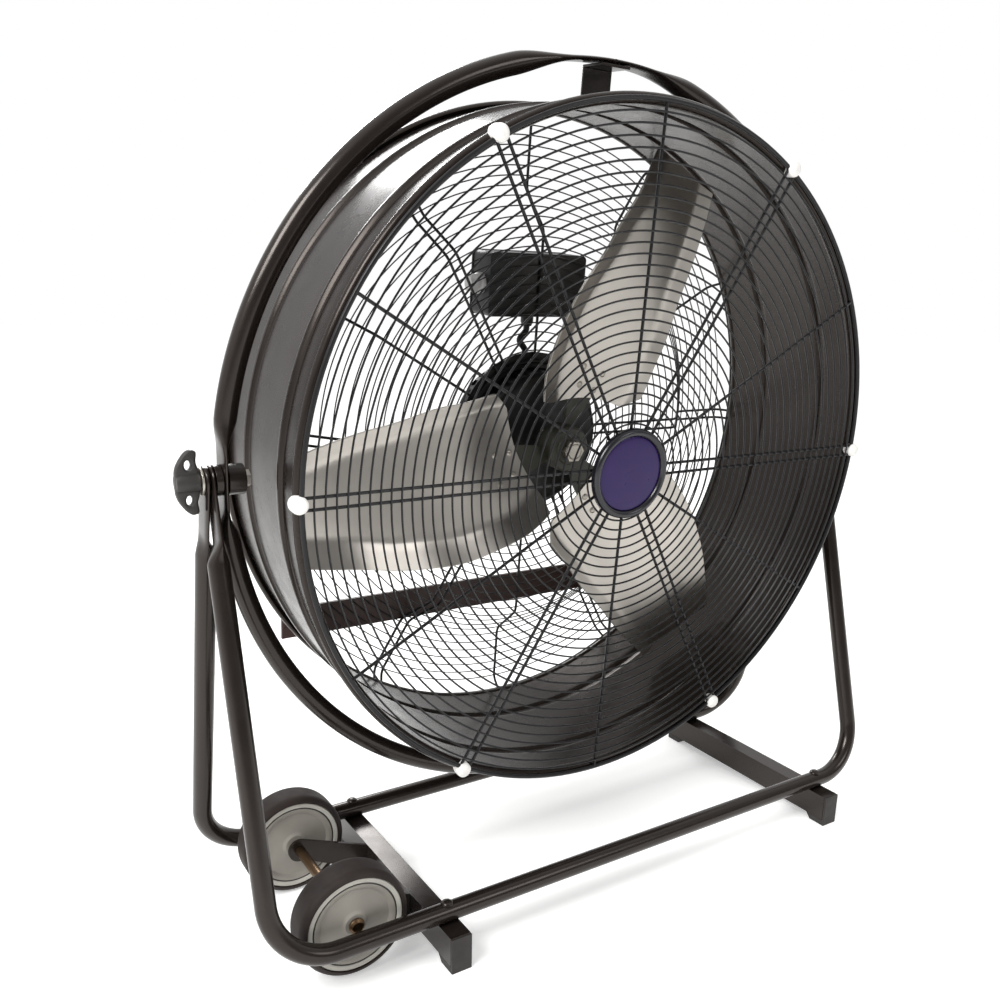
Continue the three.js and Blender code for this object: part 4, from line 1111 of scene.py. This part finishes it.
# ---- hoop, pivots and stand -------------------------------------------------


def pressed(s, offset, across, share):
    """Thickness and width of a tube pressed flat by the share given."""
    half = s.flat_thickness / 2
    flat = half * math.sin(math.pi / 2 * min(max(offset / s.radius, -1), 1))
    widened = across * s.flat_width / (2 * s.radius)
    return offset + (flat - offset) * share, across + (widened - across) * share


class MakeHoop(bpy.types.Operator):
    """Builds the two halves of the hoop, pressed flat at their ends and at the pivots."""

    bl_idname = "drumfan.make_hoop"
    bl_label = "Hoop"
    bl_options = {"REGISTER", "UNDO"}

    def execute(self, context):
        s = context.scene.tube_sizes
        for name, side in SIDES.items():
            mesh = bmesh.new()
            steps = 200
            end = math.pi / 2 - s.hoop_end_gap / s.hoop_radius
            turns = [end - 2 * end * i / steps for i in range(steps + 1)]
            reach = side * s.hoop_radius
            path = [Vector((reach * math.cos(t), 0, s.hoop_radius * math.sin(t))) for t in turns]
            for point in add_bar(mesh, path, s.radius, (0, 1, 0), sides=24):
                self.press(s, point, side)
            make_piece(f"hoop_{name}_tube", mesh, DRUM_PLACE, "drum", "stand_paint", [f"hoop_{name}"])
        return {"FINISHED"}

    def press(self, s, point, side):
        p = point.co
        radial = math.hypot(p.x, p.z)
        turn = abs(math.asin(min(max(p.z / radial, -1), 1)))
        from_end = (math.pi / 2 - turn) * s.hoop_radius
        at_pivot = 1 - ramp(turn * s.hoop_radius, s.pivot_flat, s.pivot_flat + s.pivot_blend)
        at_end = 1 - ramp(from_end, s.hoop_end_flat, s.hoop_end_flat + s.hoop_end_blend)
        offset, across = pressed(s, radial - s.hoop_radius, p.y, max(at_end, at_pivot))
        scale = (s.hoop_radius + offset) / radial
        flat_x = side * (s.hoop_radius + offset)
        point.co = (p.x * scale + (flat_x - p.x * scale) * at_pivot, across, p.z * scale)


class MakeStand(bpy.types.Operator):
    """Builds the two U-shaped stand tubes and the bolts that hold them to the rails."""

    bl_idname = "drumfan.make_stand"
    bl_label = "Stand"
    bl_options = {"REGISTER", "UNDO"}

    def execute(self, context):
        s = context.scene.tube_sizes
        self.tube(s, "front_stand_tube", s.inner_tab, -1)
        self.tube(s, "rear_stand_tube", s.outer_tab, 1)
        self.bolts(s)
        return {"FINISHED"}

    def path(self, s):
        """One leg's centre line with close steps at its flat end, the bend, and the same mirrored."""
        leg = math.hypot(s.half_spread, s.drop)
        close, close_steps, wide, wide_start, bend_steps = 0.002, 60, 0.03, 0.14, 24
        half = [Vector((-s.leg_x, 0, s.tab_end - close * i)) for i in range(close_steps)]
        wide_steps = int((leg - s.corner - wide_start - 0.01) / wide)
        half += [Vector((-s.leg_x, 0, -wide_start - wide * i)) for i in range(wide_steps)]
        for i in range(bend_steps + 1):
            turn = math.pi / 2 * i / bend_steps
            across = -s.leg_x + s.corner * (1 - math.cos(turn))
            half.append(Vector((across, 0, -leg + s.corner * (1 - math.sin(turn)))))
        return half + [Vector((-p.x, 0, p.z)) for p in reversed(half)]

    def tube(self, s, name, tab_x, direction):
        mesh = bmesh.new()
        for point in add_bar(mesh, self.path(s), s.radius, (0, 1, 0), sides=24):
            self.press(s, point, tab_x)
        mesh.transform(Matrix.Rotation(direction * math.atan2(s.half_spread, s.drop), 4, "X"))
        make_piece(f"{name}_bar", mesh, PIVOT_PLACE, "stand", "stand_paint", [name])

    def press(self, s, point, tab_x):
        p = point.co
        share = 1 - ramp(-p.z, s.tab_flat, s.tab_flat + s.tab_blend)
        if share <= 0:
            return
        side = math.copysign(1, p.x)
        offset, across = pressed(s, abs(p.x) - s.leg_x, p.y, share)
        above = max(p.z, 0) / s.tab_end
        rounded_end = math.sqrt(max(1 - (0.98 * min(above, 1)) ** 2, 0))
        point.co = (side * (s.leg_x + (tab_x - s.leg_x) * share + offset), across * rounded_end, p.z)

    def bolts(self, s):
        sunk = 0.0006
        top = PIVOT.z - s.drop + s.radius - sunk
        head = dome(radius=0.0072, height=0.0042)
        mesh = bmesh.new()
        for node in ("base_rail_left", "base_rail_right"):
            low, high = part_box(node)
            for way in (-1, 1):
                y = PIVOT.y + way * s.half_spread
                at = ((low.x + high.x) / 2, y, top)
                add_turned(mesh, head, segments=24, place=lathe_place((0, 0, -1), at))
        make_piece("stand_bolt_heads", mesh, Matrix.Identity(4), "stand", "stand_paint")


class MakeKnobs(bpy.types.Operator):
    """Builds the two winged lock knobs."""

    bl_idname = "drumfan.make_knobs"
    bl_label = "Lock knobs"
    bl_options = {"REGISTER", "UNDO"}

    def execute(self, context):
        s = context.scene.tube_sizes
        d, span = s.knob_depth, s.knob_half_span
        wing = [(0, 0.30), (0.10, 0.62), (0.08, 0.93), (0.38, 0.985), (0.70, 0.78), (0.985, 0.36)]
        half = [(x * d, z * span) for x, z in wing]
        outline = smooth_loop(half + [(x, -z) for x, z in reversed(half)])
        outline = [(min(max(x, 0), d), min(max(z, -span), span)) for x, z in outline]
        eyes = [[(0.45 * d + 0.14 * d * math.cos(t), way * 0.54 * span + 0.15 * span * math.sin(t))
                 for t in (2 * math.pi * i / 24 for i in range(24))] for way in (-1, 1)]
        for name, side in SIDES.items():
            mesh = bmesh.new()
            place = Matrix(((side, 0, 0, side * s.knob_start), (0, 0, 1, 0), (0, 1, 0, 0), (0, 0, 0, 1)))
            add_slab(mesh, [outline, *eyes], s.knob_thickness, rounding=0.0022, place=place)
            hub = [(0, 0), (0.0095, 0), (0.010, -0.0015), (0.0098, -d * 0.8), (0.0085, -d * 0.97), (0, -d)]
            add_turned(mesh, hub, segments=40, place=lathe_place((-side, 0, 0), (side * s.knob_start, 0, 0)))
            make_piece(f"lock_knob_{name}_wings", mesh, PIVOT_PLACE, f"knob_{name}", "knob_plastic",
                       [f"lock_knob_{name}"], sharp=50)
        return {"FINISHED"}


class MakeWheels(bpy.types.Operator):
    """Builds the two transport wheels: discs with a dark ring, pale rims and tyres."""

    bl_idname = "drumfan.make_wheels"
    bl_label = "Wheels"
    bl_options = {"REGISTER", "UNDO"}

    def execute(self, context):
        s = context.scene.wheel_sizes
        for name, face in WHEEL_FACES.items():
            place = STAND_PLACE @ Matrix.Translation((s.axle_x, face, s.axle_z))
            body = f"wheel_{name}"
            self.disc(s, place, name, body)
            self.tyre(s, place, name, body)
        return {"FINISHED"}

    def disc(self, s, place, name, body):
        near, far = s.inset, s.width - s.inset
        low = s.groove - s.groove_width / 2
        high = s.groove + s.groove_width / 2
        face = [(s.bore, 0), (0.012, 0), (0.014, 0.0016), (0.0165, 0.0030), (0.040, 0.0030), (0.043, 0.0008),
                (0.0445, 0.0002), (low, 0.0002)]
        front = [(r, near + d) for r, d in face]
        back = [(r, far - d) for r, d in reversed(face)]
        disc = bmesh.new()
        add_turned(disc, front + back, segments=96, closed=True)
        make_piece(f"wheel_disc_{name}_face", disc, place, body, "wheel_plastic", [f"wheel_disc_{name}"])
        ring = bmesh.new()
        sunk = 0.0009
        side = [(low, near + sunk), (high, near + sunk), (high, far - sunk), (low, far - sunk)]
        add_turned(ring, side, segments=96, closed=True)
        make_piece(f"wheel_ring_{name}", ring, place, body, "wheel_plastic", finish="wheel_ring")
        rim = bmesh.new()
        edge = s.disc_radius
        side = [(high, 0), (high + 0.001, -0.0006), (edge - 0.001, -0.0006), (edge, 0.0006)]
        profile = [(r, near + d) for r, d in side] + [(r, far - d) for r, d in reversed(side)]
        add_turned(rim, profile, segments=96, closed=True)
        make_piece(f"wheel_rim_{name}", rim, place, body, "wheel_plastic", finish="wheel_rim")

    def tyre(self, s, place, name, body):
        inner = s.disc_radius + CLEARANCE
        tread_depth = s.radius - inner
        shoulder = tread_depth * 1.25
        side = [(inner + tread_depth * x, shoulder + shoulder * y) for x, y in arc((0, 0), 1, -90, 0, 10)]
        profile = side + [(r, s.width - y) for r, y in reversed(side)]
        mesh = bmesh.new()
        add_turned(mesh, profile, segments=128, closed=True)
        make_piece(f"tyre_{name}_tread", mesh, place, body, "tyre_rubber", [f"tyre_{name}"])


# ---- carried-over nodes and stage -------------------------------------------

DRESSED = {
    "stand_paint": ["base_rail_left", "base_rail_right", "axle_bracket_front", "axle_bracket_rear",
                    "hoop_bracket_top", "hoop_bracket_bottom", "pivot_boss_left", "pivot_boss_right",
                    "pivot_spacer_left", "pivot_spacer_right"],
    "foot_plastic": ["foot_front_left", "foot_front_right", "foot_rear_left", "foot_rear_right"],
    "zinc": ["pivot_washer_left", "pivot_washer_right", "pivot_bolt_left", "pivot_bolt_right",
             "front_bearing", "rear_bearing", "rotor_shaft"],
    "axle_steel": ["axle", "axle_cap_front", "axle_cap_rear"],
    "motor_paint": ["motor_mount_ring"],
    "winding": ["stator"],
    "box_plastic": ["box_gland", "motor_gland"],
    "brace_paint": ["rear_brace_bar"],
}


class DressNodes(bpy.types.Operator):
    """Gives the carried-over nodes their finishes, round shading and softened edges."""

    bl_idname = "drumfan.dress_nodes"
    bl_label = "Plain fittings"
    bl_options = {"REGISTER", "UNDO"}
    # Width of a softened edge in metres, and how many degrees an edge turns before it is softened.
    EDGE_WIDTH = 0.0006
    EDGE_ANGLE = 33

    def execute(self, context):
        for slot, names in DRESSED.items():
            for name in names:
                self.dress(frame["nodes"][name], finish_for(slot))
        return {"FINISHED"}

    def dress(self, node, finish):
        node.data.materials.clear()
        node.data.materials.append(finish)
        kept = node.data.attributes.get("custom_normal")
        if kept:
            node.data.attributes.remove(kept)
        for face in node.data.polygons:
            face.use_smooth = True
        weld = node.modifiers.new("weld", "WELD")
        weld.merge_threshold = 0.00001
        soft = node.modifiers.new("edges", "BEVEL")
        soft.width = self.EDGE_WIDTH
        soft.segments = 2
        soft.angle_limit = math.radians(self.EDGE_ANGLE)
        soft.harden_normals = True


class MakeStage(bpy.types.Operator):
    """Sets the camera, the pale floor and the soft light."""

    bl_idname = "drumfan.make_stage"
    bl_label = "Stage"
    bl_options = {"REGISTER", "UNDO"}
    # Each softbox's name, place, side and power in watts.
    LIGHTS = (
        ("key_light", (-2.6, -1.0, 2.8), 1.5, 105),
        ("side_light", (1.6, -3.2, 2.2), 1.2, 20),
        ("rear_light", (0.5, 2.7, 2.0), 1.0, 45),
    )
    SENSOR_WIDTH = 36
    # Y of a direction at which the light is dimmest, and from which it has its full strength.
    DIMMEST, FULL = -0.85, 0.05

    def execute(self, context):
        scene = context.scene
        s = scene.stage_settings
        self.camera(scene, s)
        self.floor(s)
        self.sky(scene, s)
        for name, place, size, power in self.LIGHTS:
            self.softbox(name, place, size, power)
        scene.view_settings.view_transform = "Standard"
        return {"FINISHED"}

    def camera(self, scene, s):
        data = bpy.data.cameras.new("camera")
        data.lens = s.lens
        data.sensor_width = self.SENSOR_WIDTH
        data.shift_x, data.shift_y = s.shift_x, s.shift_y
        forward = Vector((-math.sin(s.yaw) * math.cos(s.pitch), math.cos(s.yaw) * math.cos(s.pitch),
                          math.sin(s.pitch)))
        level = Vector((math.cos(s.yaw), math.sin(s.yaw), 0))
        upright = level.cross(forward)
        right = math.cos(s.roll) * level + math.sin(s.roll) * upright
        up = math.cos(s.roll) * upright - math.sin(s.roll) * level
        camera = bpy.data.objects.new("camera", data)
        turned = Matrix((right, up, -forward)).transposed().to_4x4()
        camera.matrix_world = Matrix.Translation(Vector(s.camera_place)) @ turned
        scene.collection.objects.link(camera)
        scene.camera = camera

    def floor(self, s):
        mesh = bmesh.new()
        bmesh.ops.create_grid(mesh, x_segments=8, y_segments=8, size=s.floor_size / 2)
        data = bpy.data.meshes.new("floor")
        mesh.to_mesh(data)
        mesh.free()
        data.materials.append(floor_finish("floor_paper", s.floor, s.glow))
        floor = bpy.data.objects.new("floor", data)
        bpy.context.scene.collection.objects.link(floor)

    def sky(self, scene, s):
        """White light from all round, dimmer from in front of the fan, on a white backdrop."""
        world = bpy.data.worlds.new("studio")
        world.use_nodes = True
        nodes, links = world.node_tree.nodes, world.node_tree.links
        nodes["Background"].inputs["Color"].default_value = (1, 1, 1, 1)
        split = nodes.new("ShaderNodeSeparateXYZ")
        links.new(nodes.new("ShaderNodeTexCoord").outputs["Generated"], split.inputs["Vector"])
        span = nodes.new("ShaderNodeMapRange")
        span.interpolation_type = "SMOOTHSTEP"
        span.inputs["From Min"].default_value = self.DIMMEST
        span.inputs["From Max"].default_value = self.FULL
        span.inputs["To Min"].default_value = s.sky * s.front_share
        span.inputs["To Max"].default_value = s.sky
        links.new(split.outputs["Y"], span.inputs["Value"])
        backdrop = nodes.new("ShaderNodeMapRange")
        links.new(nodes.new("ShaderNodeLightPath").outputs["Is Camera Ray"], backdrop.inputs["Value"])
        links.new(span.outputs["Result"], backdrop.inputs["To Min"])
        backdrop.inputs["To Max"].default_value = s.sky
        links.new(backdrop.outputs["Result"], nodes["Background"].inputs["Strength"])
        scene.world = world

    def softbox(self, name, place, size, power):
        data = bpy.data.lights.new(name, "AREA")
        data.size = size
        data.energy = power
        light = bpy.data.objects.new(name, data)
        aim = (PIVOT - Vector(place)).to_track_quat("-Z", "Y")
        light.matrix_world = Matrix.Translation(place) @ aim.to_matrix().to_4x4()
        bpy.context.scene.collection.objects.link(light)


# ---- add-on -----------------------------------------------------------------

SETTINGS = {
    "drum_sizes": DrumSizes,
    "guard_sizes": GuardSizes,
    "fan_sizes": FanSizes,
    "box_sizes": BoxSizes,
    "tube_sizes": TubeSizes,
    "wheel_sizes": WheelSizes,
    "fan_colours": FinishColours,
    "stage_settings": StageSettings,
}
OPERATORS = [MakeDrum, MakeGuards, MakeClips, MakeBadge, MakeMotor, MakeFan, MakeSwitchBox, MakeHoop,
             MakeStand, MakeKnobs, MakeWheels, DressNodes, MakeStage]


class DrumFanPanel(bpy.types.Panel):
    """Lists the drum fan's pieces and settings."""

    bl_idname = "VIEW3D_PT_drum_fan"
    bl_label = "Drum Fan"
    bl_space_type = "VIEW_3D"
    bl_region_type = "UI"
    bl_category = "Drum Fan"

    def draw(self, context):
        for operator in OPERATORS:
            self.layout.operator(operator.bl_idname)
        for name, group in SETTINGS.items():
            box = self.layout.box()
            box.label(text=name.replace("_", " ").capitalize())
            for setting in group.__annotations__:
                box.prop(getattr(context.scene, name), setting)


def register():
    for name, group in SETTINGS.items():
        bpy.utils.register_class(group)
        setattr(bpy.types.Scene, name, PointerProperty(type=group))
    for operator in OPERATORS:
        bpy.utils.register_class(operator)
    bpy.utils.register_class(DrumFanPanel)


def unregister():
    bpy.utils.unregister_class(DrumFanPanel)
    for operator in reversed(OPERATORS):
        bpy.utils.unregister_class(operator)
    for name, group in reversed(SETTINGS.items()):
        delattr(bpy.types.Scene, name)
        bpy.utils.unregister_class(group)


def main():
    register()
    for operator in OPERATORS:
        group, call = operator.bl_idname.split(".")
        getattr(getattr(bpy.ops, group), call)()


if __name__ == "__main__":
    main()
